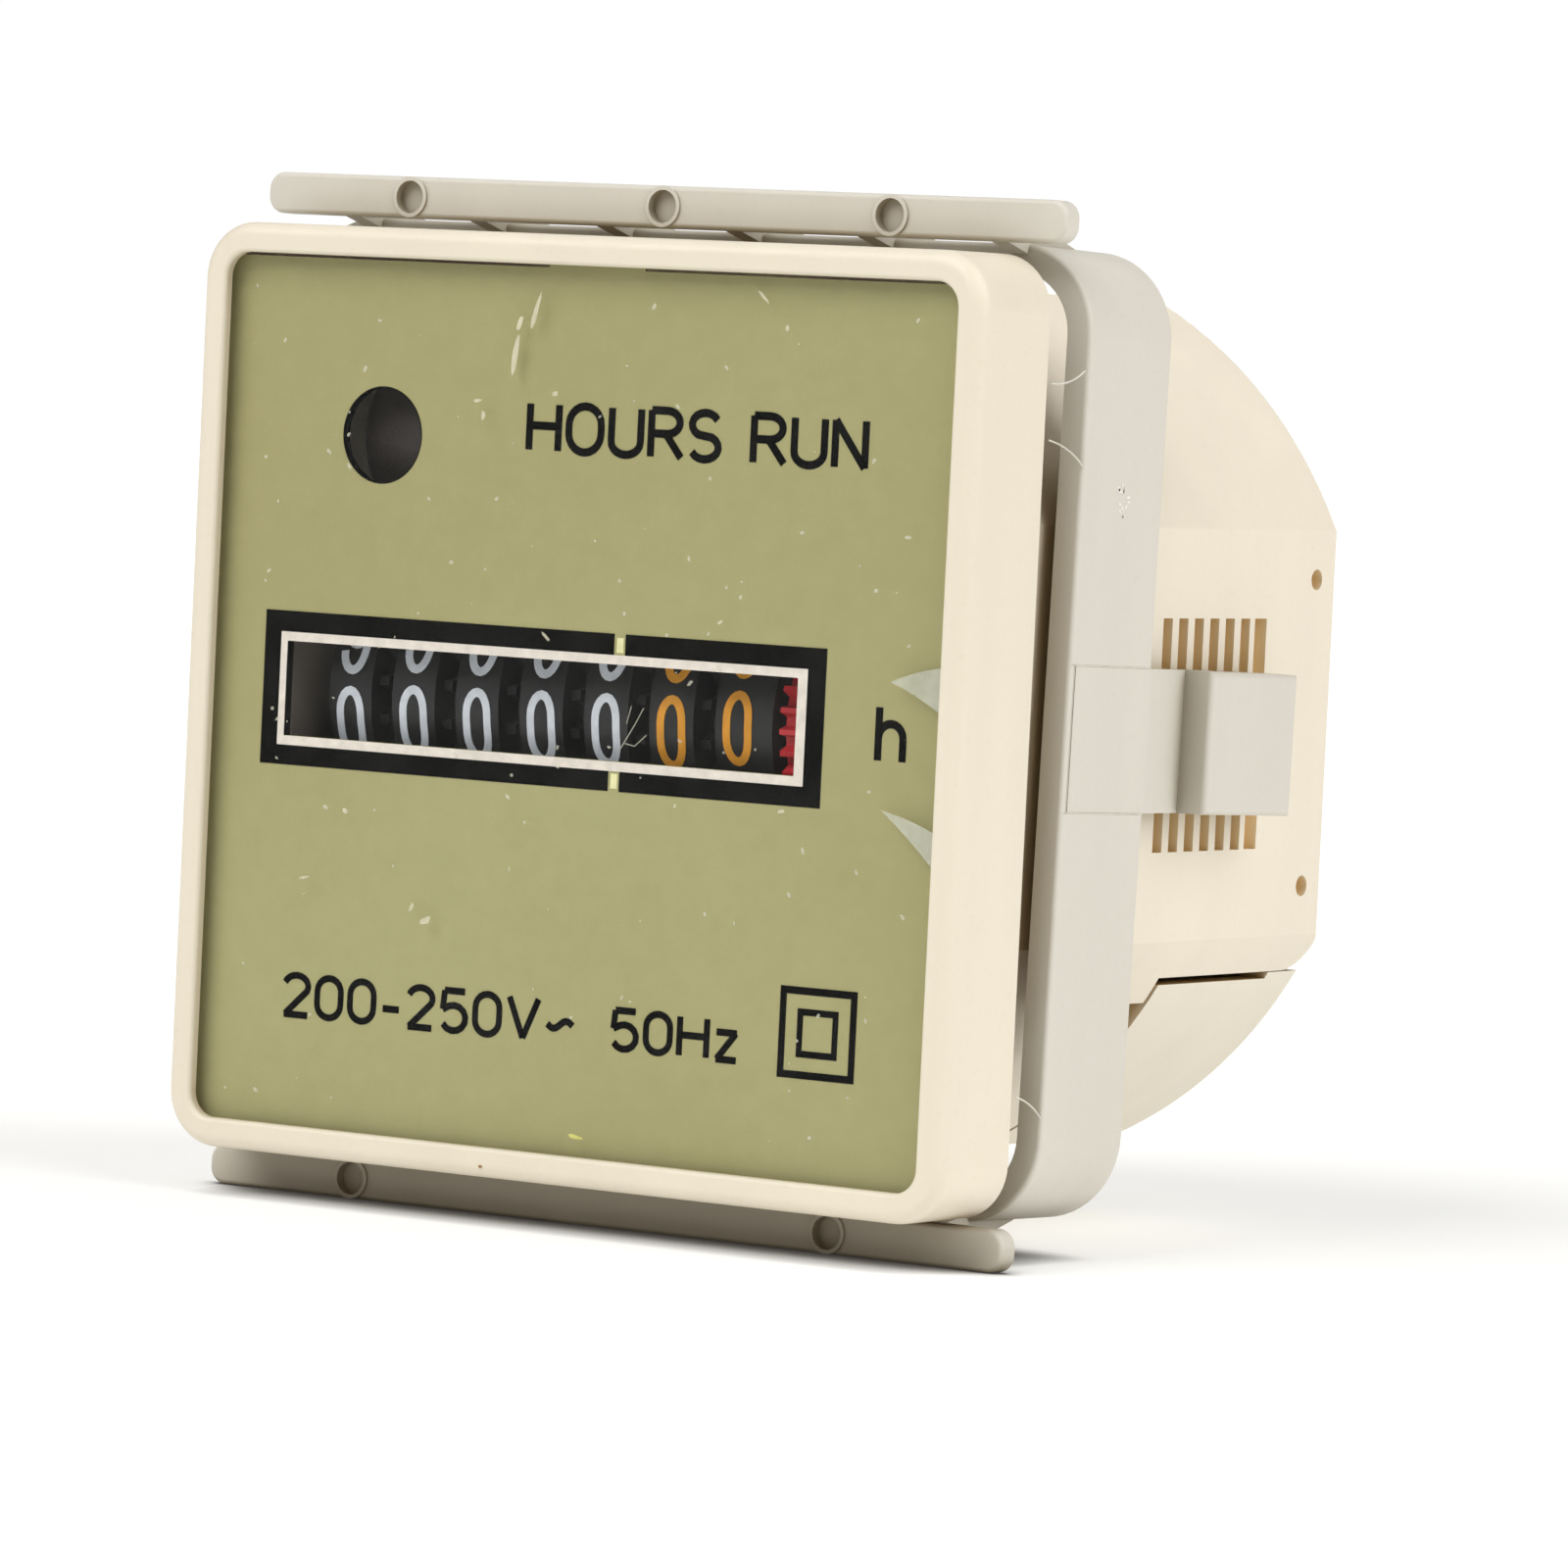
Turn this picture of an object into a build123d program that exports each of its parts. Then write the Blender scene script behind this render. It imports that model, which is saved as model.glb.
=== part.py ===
from build123d import *
import math
import os

os.makedirs("parts", exist_ok=True)

# Panel-mounted running-hour counter, all sizes in millimetres.
# Origin: centre of the front of the panel it is clipped into. +X right as seen from the
# front, +Y into the panel (towards the terminals), +Z up.

# ---------------------------------------------------------------- driving dimensions
FRONT = 48.0            # square front bezel
BEZEL_DEPTH = 6.2
BEZEL_CORNER_R = 2.9
BEZEL_EDGE_R = 0.75
LIP_OPENING = 44.9
LIP_THICK = 0.6
LIP_CORNER_R = 1.3
LIP_EDGE_R = 0.25
BEZEL_POCKET = 46.1
BEZEL_POCKET_R = 2.0

WINDOW_THICK = 0.5
DIAL_GAP = 0.1          # air between window and dial
DIAL_THICK = 0.5
FLANGE = 45.9           # housing flange that the bezel snaps over
FLANGE_THICK = 1.6
FLANGE_R = 1.9
RIM_WALL = 1.0

FLATS = 44.6            # housing across its flats
BODY_R = 24.7           # and its round corners
WALL = 1.5
BODY_LEN = 32.5
REAR_EDGE_R = 0.4
REAR_WALL = 1.2

SHELF_Z = -12.6         # roof of the terminal compartment
POCKET_FRONT_Y = 18.15
SHELF_WALL = 1.3
COVER_GAP = 0.4
COVER_WALL = 1.3
COVER_LIP_Y = 29.3      # behind this the cover closes up to the shelf
COVER_LIP_CLEAR = 0.05
COVER_LIP_LAP = 1.0     # how far the lip reaches down into the cover's wall
NOTCH_X = 19.0          # finger notch in front of the cover
NOTCH_Y0 = 16.4
NOTCH_Z0, NOTCH_Z1 = -15.45, -13.95
REAR_CORNER_R = 2.0

SLOT_COUNT = 7
SLOT_PITCH = 1.55
SLOT_Y0 = 15.55
SLOT_W = 0.9
SLOT_LAST_W = 1.2
SLOT_HEIGHT = 12.0
SLOT_DEPTH = 1.0
PIN_HOLE_R = 0.55
PIN_HOLE_Y = 30.4
PIN_HOLE_Z = 8.05

RING = 49.0             # clamp frame
RING_R = 4.5
RING_WALL = 1.4
RING_Y0 = 2.65
RING_Y1 = 10.5
CLAMP_TILT = 1.4        # degrees that the loose frame leans back at the top
STRIP = 49.3
STRIP_Y0 = -0.6
STRIP_THICK = 1.2
STRIP_Z0 = 24.45
STRIP_Z1 = 26.6
STRIP_END_R = 0.9
DIMPLE_R = 0.85
DIMPLE_DEPTH = 0.5
DIMPLE_RIM = 0.2
DIMPLE_PROUD = 0.1
DIMPLE_XS = (-15.4, 0.5, 14.3)
LOWER_DIMPLE_XS = (-15.4, 14.3)
GUSSET_COUNT = 6
GUSSET_THICK = 1.0
GUSSET_Y1 = 7.0
GUSSET_SUNK = 0.5       # how deep a gusset runs into the ring
GUSSET_DROP = 0.3       # its start below the strip's edge
TONGUE_HALF = 3.65
TONGUE_SLIT = 0.08
TONGUE_ROOT_GAP = 0.16
TONGUE_SUNK = 0.05
TONGUE_Y0 = 3.25
TONGUE_Y1 = 24.0
TONGUE_GROOVE_Y = 15.4
TONGUE_GROOVE_X = 23.5
TONGUE_LAND = 1.0       # level part of the tongue's inner face behind the ring
PAD_X = 25.2
PAD_EDGE_R = 0.3
CLAMP_EDGE_R = 0.25
PAD_INNER_X = 23.0
TOOTH_CLEAR = 0.08
TOOTH_COUNT = 5
TOOTH_BASE = (-0.25, 0.75)  # along Y, from the middle of its slot
TOOTH_TIP = (-0.05, 0.35)

# counter
WINDOW_X0, WINDOW_X1 = -18.25, 13.45
WINDOW_Z0, WINDOW_Z1 = -2.4, 2.5
DOT_X, DOT_Z, DOT_R = -12.8, 13.37, 2.5
DRUM_COUNT = 7
DRUM_PITCH = 4.03
DRUM_MID_X = -3.7
DRUM_R = 7.1
DRUM_HALF = 1.35
DRUM_AXIS = (4.4, 0.0)      # (y, z)
DRUM_BORE_R = 5.9           # hollow left side of a drum
DRUM_HUB_R = 2.2
DRUM_WEB = 0.3              # the hollow ends this far right of the drum's middle
DRIVE_HUB_R = 3.0
CARRIER_R = 4.5             # disc with the two carry lugs
CARRIER_THICK = 0.55
LUG_R = 0.45
LUG_REACH = 4.65
LUG_SPREAD = 12.0           # degrees to each side of the point opposite the pinions
AXLE_R = 0.9
RUN_FIT = 0.05              # radial clearance of every running fit
GEAR_ROOT, GEAR_TIP = 1.1, 0.75         # tooth depth and height in modules
TOOTH_ROOT_HALF, TOOTH_TIP_HALF = 0.28, 0.12    # half widths as shares of the pitch
RING_TEETH, TRANSFER_TEETH, TRANSFER_MODULE = 20, 8, 0.6
RING_GEAR_THICK = 0.6
TRANSFER_END_GAP = 0.07
TRANSFER_ANGLE = -60.0
TRANSFER_AXLE_R = 0.75
CHEEK_X0, CHEEK_X1 = -19.4, -18.4
CHEEK_Y1, CHEEK_Z1 = 9.4, 6.5
CHEEK_BOSS_R = 2.2
BASE_Z0, BASE_Z1 = -9.4, -8.2
BASE_HALF = 3.0
ARM_X0, ARM_X1 = 12.5, 13.4
ARM_DISCS = (2.4, 1.6, 1.0)     # radii at the drum axle, the pinion axle and the foot
ARM_FOOT = (0.0, -8.4)
CHASSIS_GAP = 0.1
LAST_DRUM_X1 = 10.5

# reduction train, from the red drive wheel back to the motor: 5 x 5 x 8 x 7.5 = 1500
DRIVE_TEETH, DRIVE_MODULE = 40, 0.34
DRIVE_X0, DRIVE_X1 = 10.9, 12.1
PINION_TEETH, FINE_MODULE = 8, 0.25
WHEEL_TEETH = (40, 64, 60)          # reduction gears 1 to 3
TRAIN_ANGLES = (30.0, -70.0, 25.0, 125.0)
WHEEL_X0 = (12.5, 13.8, 15.1)
WHEEL_THICK = 0.7
POST_R = 0.4
POST_X1 = (13.4, 15.3, 16.3)
PLATE_X0, PLATE_X1 = 9.4, 10.4
PLATE_PATCHES = ((16.95, -7.1, 27.9, 8.2), (17.25, 6.9, 15.5, 21.0), (27.0, 1.0, 7.8, 9.0))
PLATE_DRUM_GAP = 0.25
SHAFT_HOLE_R = 1.6
GEAR_END_GAP = 0.15

# motor and running indicator
MOTOR_R = 8.0
MOTOR_X0, MOTOR_X1 = -7.9, 9.4
CUP_WALL = 0.7
CUP_GAP = 0.05
CLAW_COUNT = 6
CLAW_LEN = 13.5
CLAW_R0, CLAW_R1 = 4.6, 5.2
CLAW_HALF_ANGLE = 10.0
BOBBIN_R0, BOBBIN_R1, BOBBIN_R2 = 5.25, 5.7, 7.2    # bore, barrel and flanges
BOBBIN_WALL = 0.6
COIL_R = 6.9
MAGNET_R = 4.2
MAGNET_X0, MAGNET_X1 = -5.5, 7.0
SHAFT_R = 0.45
SHAFT_X0, SHAFT_X1 = -9.9, 16.2
PINION_INSET = 0.1          # from the shaft's ends
BRACKET_X0, BRACKET_X1 = -8.7, -7.9
INDICATOR_AXIS = (0.6, 13.37)
INDICATOR_R = 3.8
INDICATOR_X0, INDICATOR_X1 = -15.2, -10.4
INDICATOR_HUB_R = 1.6
INDICATOR_POST_X0 = -15.5
INDICATOR_TEETH, IDLER_TEETH = 36, 46
IDLER_X0, IDLER_X1 = -9.6, -8.9
BRACKET_DISCS = (1.6, 1.6, 4.0)     # radii at the indicator, the idler and the motor

# electrical parts
BOARD_X0, BOARD_X1 = -15.0, 8.6
BOARD_Y0, BOARD_Y1 = 14.0, 30.4
BOARD_Z0, BOARD_Z1 = -9.2, -8.0
BOARD_POST_XS, BOARD_POST_YS = (-13.0, 1.0), (19.0, 28.0)
BOARD_POST_R = 1.5
TERMINAL_X = 6.5
TERMINAL_Y = 25.4
LEAD_Y = 20.9
LEAD_R = 0.5
LEAD_HOLE_R = 0.55
LEAD_PROUD = 0.6
RESISTOR_AXIS = (26.0, -5.6)        # (y, z)
RESISTOR_R = 2.2
RESISTOR_X0, RESISTOR_X1 = -12.0, -1.0
RESISTOR_LEG_R = 0.35
RESISTOR_LEG_XS = (-13.6, 0.6)
CAPACITOR_X0, CAPACITOR_X1 = 1.6, 8.0
CAPACITOR_Y0, CAPACITOR_Y1 = 22.5, 29.5
CAPACITOR_Z1 = -1.5
BLOCK_HALF_X = 12.0
BLOCK_Y0, BLOCK_Y1 = 19.0, 30.4
BLOCK_Z0 = -16.8
BARRIER_HALF_X, BARRIER_Y0, BARRIER_DROP = 0.6, 20.0, 3.0
CONTACT_HALF_X = 4.0
CONTACT_Y0, CONTACT_Y1 = 19.6, 29.6
CONTACT_THICK = 0.8
WASHER_HALF = 3.5
WASHER_THICK = 0.9
SCREW_R = 1.45
SCREW_HEAD_R = 2.7
SCREW_HEAD_TALL = 1.8
SCREW_SLACK = 0.05          # head to washer
SCREW_END_GAP = 0.2
SCREW_SLOT_W, SCREW_SLOT_DEEP = 0.8, 0.9
SCREW_HOLE_ROOF = 0.6
WIRE_HOLE_R = 1.9
WIRE_HOLE_DROP = 1.3        # below the terminal block's underside

FAR = 60.0                  # longer than anything, for cutting tools
OVERRUN = 1.0               # how far a cutting tool passes the face it cuts


# ---------------------------------------------------------------- helpers
def slab_x(face, x0, x1):
    """Extrude a (y, z) face from x0 to x1."""
    plane = Plane(origin=(x0, 0, 0), x_dir=(0, 1, 0), z_dir=(1, 0, 0))
    return extrude(plane * face, amount=x1 - x0)


def slab_y(face, y0, y1):
    """Extrude an (x, z) face from y0 to y1."""
    plane = Plane(origin=(0, y1, 0), x_dir=(1, 0, 0), z_dir=(0, -1, 0))
    return extrude(plane * face, amount=y1 - y0)


def slab_z(face, z0, z1):
    """Extrude an (x, y) face from z0 to z1."""
    return extrude(Plane.XY.offset(z0) * face, amount=z1 - z0)


def block(x0, x1, y0, y1, z0, z1):
    """Box between two corners."""
    centre = ((x0 + x1) / 2, (y0 + y1) / 2, (z0 + z1) / 2)
    return Pos(*centre) * Box(x1 - x0, y1 - y0, z1 - z0)


def disc_x(axis, radius, x0, x1):
    """Round bar along X about the (y, z) point."""
    return slab_x(Pos(*axis) * Circle(radius), x0, x1)


def tube_x(axis, outer, inner, x0, x1):
    """Round tube along X about the (y, z) point."""
    return disc_x(axis, outer, x0, x1) - disc_x(axis, inner, x0 - OVERRUN, x1 + OVERRUN)


def outline(*points):
    """Face inside a closed polygon."""
    return make_face(Polyline(*points, close=True))


def polar(origin, radius, angle):
    """Point at a radius and an angle in degrees from an origin."""
    a = math.radians(angle)
    return (origin[0] + radius * math.cos(a), origin[1] + radius * math.sin(a))


def pitch_radius(teeth, module):
    return teeth * module / 2


def gear_face(teeth, module, phase):
    """Spur gear outline about its centre, with one tooth centred at the angle phase."""
    pitch = 360.0 / teeth
    root = pitch_radius(teeth, module) - GEAR_ROOT * module
    tip = pitch_radius(teeth, module) + GEAR_TIP * module
    corners = (
        (-TOOTH_ROOT_HALF, root),
        (-TOOTH_TIP_HALF, tip),
        (TOOTH_TIP_HALF, tip),
        (TOOTH_ROOT_HALF, root),
    )
    points = []
    for tooth in range(teeth):
        for share, radius in corners:
            points.append(polar((0, 0), radius, phase + (tooth + share) * pitch))
    return outline(*points)


def gear(axis, teeth, module, phase, x0, x1):
    """Spur gear about an X axis."""
    return slab_x(Pos(*axis) * gear_face(teeth, module, phase), x0, x1)


def mesh_phase(phase, teeth, direction, next_teeth):
    """Phase of the next gear, so that its gap faces the tooth of the first one."""
    share = (direction - phase) * teeth / 360.0
    return direction + 180.0 - (360.0 / next_teeth) * (0.5 - share)


def heading(start, end):
    """Angle in degrees from one (y, z) point to another."""
    return math.degrees(math.atan2(end[1] - start[1], end[0] - start[0]))


def third_point(a, b, from_a, from_b):
    """Point at the given distances from a and b, on the right of the way from a to b."""
    span = math.dist(a, b)
    along = (from_a**2 - from_b**2 + span**2) / (2 * span)
    off = math.sqrt(from_a**2 - along**2)
    way = heading(a, b)
    return polar(polar(a, along, way), off, way - 90.0)


def hull_plate(centres, radii, x0, x1):
    """Flat plate along X whose outline wraps a disc about each (y, z) centre."""
    edges = []
    for centre, radius in zip(centres, radii):
        edges += (Pos(*centre) * Circle(radius)).edges()
    return slab_x(make_hull(edges), x0, x1)


# ---------------------------------------------------------------- shared geometry
HALF = FRONT / 2
FRONT_Y = -BEZEL_DEPTH
WINDOW_Y0 = FRONT_Y + LIP_THICK
DIAL_Y0 = WINDOW_Y0 + WINDOW_THICK + DIAL_GAP
DIAL_Y1 = DIAL_Y0 + DIAL_THICK
WASHER_Z0 = BLOCK_Z0 - CONTACT_THICK - WASHER_THICK
DRUM_XS = [DRUM_MID_X + (i - DRUM_COUNT // 2) * DRUM_PITCH for i in range(DRUM_COUNT)]
TRANSFER_AXIS = polar(
    DRUM_AXIS,
    pitch_radius(RING_TEETH + TRANSFER_TEETH, TRANSFER_MODULE),
    TRANSFER_ANGLE,
)


def train_axes():
    """Axes of reduction gears 1 to 3 and of the motor."""
    spans = [pitch_radius(DRIVE_TEETH + PINION_TEETH, DRIVE_MODULE)]
    spans += [pitch_radius(teeth + PINION_TEETH, FINE_MODULE) for teeth in WHEEL_TEETH]
    axes = [DRUM_AXIS]
    for span, angle in zip(spans, TRAIN_ANGLES):
        axes.append(polar(axes[-1], span, angle))
    return axes[1:]


GEAR_AXES = train_axes()
MOTOR_AXIS = GEAR_AXES[-1]
IDLER_AXIS = third_point(
    MOTOR_AXIS,
    INDICATOR_AXIS,
    pitch_radius(PINION_TEETH + IDLER_TEETH, FINE_MODULE),
    pitch_radius(INDICATOR_TEETH + IDLER_TEETH, FINE_MODULE),
)


def body_section(inset=0.0):
    """Square with round corners left by a circle: the housing's cross-section."""
    side = FLATS - 2 * inset
    return Rectangle(side, side) & Circle(BODY_R - inset)


def compartment(grow):
    """Tool as wide as the housing that fills the terminal compartment, moved out by grow."""
    return block(-FAR, FAR, POCKET_FRONT_Y - grow, FAR, -FAR, SHELF_Z + grow)


# ---------------------------------------------------------------- front
def front_bezel():
    bezel = slab_y(RectangleRounded(FRONT, FRONT, BEZEL_CORNER_R), FRONT_Y, 0)
    front_edges = bezel.faces().sort_by(Axis.Y)[0].edges()
    bezel = fillet(front_edges, BEZEL_EDGE_R)
    bezel -= slab_y(RectangleRounded(BEZEL_POCKET, BEZEL_POCKET, BEZEL_POCKET_R), WINDOW_Y0, FAR)
    bezel -= slab_y(RectangleRounded(LIP_OPENING, LIP_OPENING, LIP_CORNER_R), -FAR, FAR)
    lip_edges = bezel.faces().sort_by(Axis.Y)[0].inner_wires()[0].edges()
    return fillet(lip_edges, LIP_EDGE_R)


def dial_window():
    return slab_y(RectangleRounded(FLANGE, FLANGE, FLANGE_R), WINDOW_Y0, WINDOW_Y0 + WINDOW_THICK)


def dial_plate():
    plate = slab_y(RectangleRounded(FLANGE, FLANGE, FLANGE_R), DIAL_Y0, DIAL_Y1)
    plate -= block(WINDOW_X0, WINDOW_X1, -FAR, FAR, WINDOW_Z0, WINDOW_Z1)
    return plate - slab_y(Pos(DOT_X, DOT_Z) * Circle(DOT_R), -FAR, FAR)


# ---------------------------------------------------------------- housing
def side_cuts():
    """Latch slots and pin holes, blind, in both side walls."""
    faces = []
    for i in range(SLOT_COUNT):
        width = SLOT_LAST_W if i == SLOT_COUNT - 1 else SLOT_W
        faces.append(Pos(SLOT_Y0 + i * SLOT_PITCH, 0) * Rectangle(width, SLOT_HEIGHT))
    for z in (-PIN_HOLE_Z, PIN_HOLE_Z):
        faces.append(Pos(PIN_HOLE_Y, z) * Circle(PIN_HOLE_R))
    cuts = []
    for side in (-1, 1):
        x0, x1 = sorted((side * (FLATS / 2 - SLOT_DEPTH), side * FAR))
        cuts += [slab_x(face, x0, x1) for face in faces]
    return cuts


def housing():
    shell = slab_y(body_section(), 0, BODY_LEN) - compartment(0)
    corner = shell.edges().filter_by(Axis.X).sort_by_distance((0, BODY_LEN, SHELF_Z))[0]
    shell = fillet(corner, REAR_CORNER_R)
    rear_edges = shell.faces().sort_by(Axis.Y)[-1].edges().sort_by(Axis.Z)
    shell = fillet(rear_edges[1:], REAR_EDGE_R)
    shell += slab_y(RectangleRounded(FLANGE, FLANGE, FLANGE_R), -FLANGE_THICK, 0)
    shell += slab_y(RectangleRounded(FLANGE, FLANGE, FLANGE_R), DIAL_Y1, -FLANGE_THICK)
    front_hole = FLANGE - 2 * RIM_WALL
    shell -= slab_y(RectangleRounded(front_hole, front_hole, FLANGE_R - RIM_WALL), -FAR, -FLANGE_THICK)
    inside = slab_y(body_section(WALL), -FAR, BODY_LEN - REAR_WALL)
    inside -= compartment(SHELF_WALL)
    shell -= inside
    for cut in side_cuts():
        shell -= cut
    notch = outline((NOTCH_Y0, NOTCH_Z1), (POCKET_FRONT_Y, NOTCH_Z1), (POCKET_FRONT_Y, NOTCH_Z0))
    for side in (-1, 1):
        shell -= slab_x(notch, *sorted((side * NOTCH_X, side * FAR)))
    for x in BOARD_POST_XS:
        for y in BOARD_POST_YS:
            shell += slab_z(Pos(x, y) * Circle(BOARD_POST_R), SHELF_Z + SHELF_WALL, BOARD_Z0)
    for x in (-TERMINAL_X, TERMINAL_X):
        shell -= slab_z(Pos(x, LEAD_Y) * Circle(LEAD_HOLE_R), -FAR, 0)
    return shell


def terminal_cover():
    shell = slab_y(body_section(), 0, BODY_LEN)
    shell = fillet(shell.faces().sort_by(Axis.Y)[-1].edges(), REAR_EDGE_R)
    shell -= slab_y(body_section(COVER_WALL), -FAR, BODY_LEN - COVER_WALL)
    cover = shell & compartment(-COVER_GAP)
    lip_z0 = SHELF_Z - COVER_GAP - COVER_LIP_LAP
    cover += shell & block(-FAR, FAR, COVER_LIP_Y, FAR, lip_z0, SHELF_Z - COVER_LIP_CLEAR)
    for x in (-TERMINAL_X, TERMINAL_X):
        hole = Pos(x, BLOCK_Z0 - WIRE_HOLE_DROP) * Circle(WIRE_HOLE_R)
        cover -= slab_y(hole, BODY_LEN - 2 * COVER_WALL, FAR)
    return cover


# ---------------------------------------------------------------- clamp frame
def leaning(part):
    """The clamp frame's parts lean together about the middle of the ring."""
    middle = Pos(0, (RING_Y0 + RING_Y1) / 2, 0)
    return middle * Rot(X=-CLAMP_TILT) * middle.inverse() * part


def clamp_strip(dimple_xs):
    """Upper pressing strip of the clamp frame with its moulding dimples and gussets."""
    mid_z = (STRIP_Z0 + STRIP_Z1) / 2
    bar = RectangleRounded(STRIP, STRIP_Z1 - STRIP_Z0, STRIP_END_R)
    strip = slab_y(Pos(0, mid_z) * bar, STRIP_Y0, STRIP_Y0 + STRIP_THICK)
    strip = fillet(strip.faces().sort_by(Axis.Y)[0].edges(), CLAMP_EDGE_R)
    for x in dimple_xs:
        rim = Pos(x, mid_z) * Circle(DIMPLE_R + DIMPLE_RIM)
        strip += slab_y(rim, STRIP_Y0 - DIMPLE_PROUD, STRIP_Y0 + DIMPLE_PROUD)
        strip -= slab_y(Pos(x, mid_z) * Circle(DIMPLE_R), -FAR, STRIP_Y0 + DIMPLE_DEPTH)
    back = STRIP_Y0 + STRIP_THICK
    ring_top = RING / 2
    gusset = outline(
        (back, ring_top),
        (RING_Y0, ring_top - GUSSET_SUNK),
        (GUSSET_Y1, ring_top - GUSSET_SUNK),
        (GUSSET_Y1, ring_top),
        (back, STRIP_Z1 - GUSSET_DROP),
    )
    for i in range(GUSSET_COUNT):
        x = (i / (GUSSET_COUNT - 1) - 0.5) * (RING - 2 * RING_R)
        strip += slab_x(gusset, x - GUSSET_THICK / 2, x + GUSSET_THICK / 2)
    return strip


def clamp_frame():
    inner = RING - 2 * RING_WALL
    ring = slab_y(RectangleRounded(RING, RING, RING_R), RING_Y0, RING_Y1)
    ends = ring.faces().filter_by(Axis.Y)
    ring = fillet(ends[0].edges() + ends[1].edges(), CLAMP_EDGE_R)
    ring -= slab_y(RectangleRounded(inner, inner, RING_R - RING_WALL), -FAR, FAR)
    slit = TONGUE_HALF + TONGUE_SLIT
    for side in (-1, 1):
        x0, x1 = sorted((side * (inner / 2 - OVERRUN), side * FAR))
        ring -= block(x0, x1, TONGUE_Y0 - TONGUE_ROOT_GAP, FAR, -slit, slit)
        x0, x1 = sorted((side * (RING / 2 - TONGUE_SUNK), side * FAR))
        ring -= block(x0, x1, -FAR, FAR, -slit, slit)
    lower = mirror(clamp_strip(LOWER_DIMPLE_XS), about=Plane.XY)
    return leaning(ring + clamp_strip(DIMPLE_XS) + lower)


def latch_tongue():
    """Right-hand sprung tongue: plan outline in (x, y), pad at the rear, teeth inside."""
    outer = RING / 2 - TONGUE_SUNK
    inner = RING / 2 - RING_WALL
    tip = FLATS / 2 + TOOTH_CLEAR
    points = [
        (inner, TONGUE_Y0),
        (outer, TONGUE_Y0),
        (outer, RING_Y1),
        (TONGUE_GROOVE_X, TONGUE_GROOVE_Y),
        (PAD_X, TONGUE_GROOVE_Y),
        (PAD_X, TONGUE_Y1),
        (PAD_INNER_X, TONGUE_Y1),
    ]
    for i in reversed(range(TOOTH_COUNT)):
        y = SLOT_Y0 + i * SLOT_PITCH
        points.append((PAD_INNER_X, y + TOOTH_BASE[1]))
        points.append((tip, y + TOOTH_TIP[1]))
        points.append((tip, y + TOOTH_TIP[0]))
        points.append((PAD_INNER_X, y + TOOTH_BASE[0]))
    points.append((PAD_INNER_X, TONGUE_GROOVE_Y - (TONGUE_GROOVE_X - PAD_INNER_X)))
    points.append((inner, RING_Y1 + TONGUE_LAND))
    tongue = slab_z(outline(*points), -TONGUE_HALF, TONGUE_HALF)
    return fillet(tongue.faces().sort_by(Axis.X)[-1].edges(), PAD_EDGE_R)


# ---------------------------------------------------------------- counter
def digit_drum(index):
    """Number drum: rim, transfer ring on its right, carry lugs on its left."""
    x = DRUM_XS[index]
    last = index == DRUM_COUNT - 1
    left = x - DRUM_HALF
    right = LAST_DRUM_X1 if last else x + DRUM_HALF
    drum = disc_x(DRUM_AXIS, DRUM_R, left, right)
    drum -= tube_x(DRUM_AXIS, DRUM_BORE_R, DRUM_HUB_R, left, x + DRUM_WEB)
    if last:
        drum += disc_x(DRUM_AXIS, DRIVE_HUB_R, right, DRIVE_X0)
    else:
        ring_x1 = right + RING_GEAR_THICK
        drum += gear(DRUM_AXIS, RING_TEETH, TRANSFER_MODULE, TRANSFER_ANGLE, right, ring_x1)
    if index > 0:
        carrier_x0 = left - CARRIER_THICK
        drum += disc_x(DRUM_AXIS, CARRIER_R, carrier_x0, left + DRUM_WEB)
        for spread in (-LUG_SPREAD, LUG_SPREAD):
            lug = polar(DRUM_AXIS, LUG_REACH, TRANSFER_ANGLE + 180.0 + spread)
            drum += disc_x(lug, LUG_R, carrier_x0, left)
    return drum - disc_x(DRUM_AXIS, AXLE_R + RUN_FIT, -FAR, FAR)


def transfer_pinion(index):
    """Pinion between drum index and the next one, in mesh with the first one's ring."""
    phase = mesh_phase(TRANSFER_ANGLE, RING_TEETH, TRANSFER_ANGLE, TRANSFER_TEETH)
    x0 = DRUM_XS[index] + DRUM_HALF + TRANSFER_END_GAP
    x1 = DRUM_XS[index + 1] - DRUM_HALF - TRANSFER_END_GAP
    pinion = gear(TRANSFER_AXIS, TRANSFER_TEETH, TRANSFER_MODULE, phase, x0, x1)
    return pinion - disc_x(TRANSFER_AXIS, TRANSFER_AXLE_R + RUN_FIT, -FAR, FAR)


def drive_gear():
    """Red wheel that turns the lowest drum."""
    wheel = gear(DRUM_AXIS, DRIVE_TEETH, DRIVE_MODULE, TRAIN_ANGLES[0], DRIVE_X0, DRIVE_X1)
    return wheel - disc_x(DRUM_AXIS, AXLE_R + RUN_FIT, -FAR, FAR)


def train_phases():
    """(pinion phase, wheel phase) of reduction gears 1 to 3, then the motor pinion's."""
    wheels_ahead = [(DRIVE_TEETH, TRAIN_ANGLES[0])]
    phases = []
    for teeth, angle, onward in zip(WHEEL_TEETH, TRAIN_ANGLES, TRAIN_ANGLES[1:]):
        ahead_teeth, ahead_phase = wheels_ahead[-1]
        phases.append((mesh_phase(ahead_phase, ahead_teeth, angle, PINION_TEETH), onward))
        wheels_ahead.append((teeth, onward))
    last_teeth, last_phase = wheels_ahead[-1]
    phases.append((mesh_phase(last_phase, last_teeth, TRAIN_ANGLES[-1], PINION_TEETH), None))
    return phases


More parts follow.
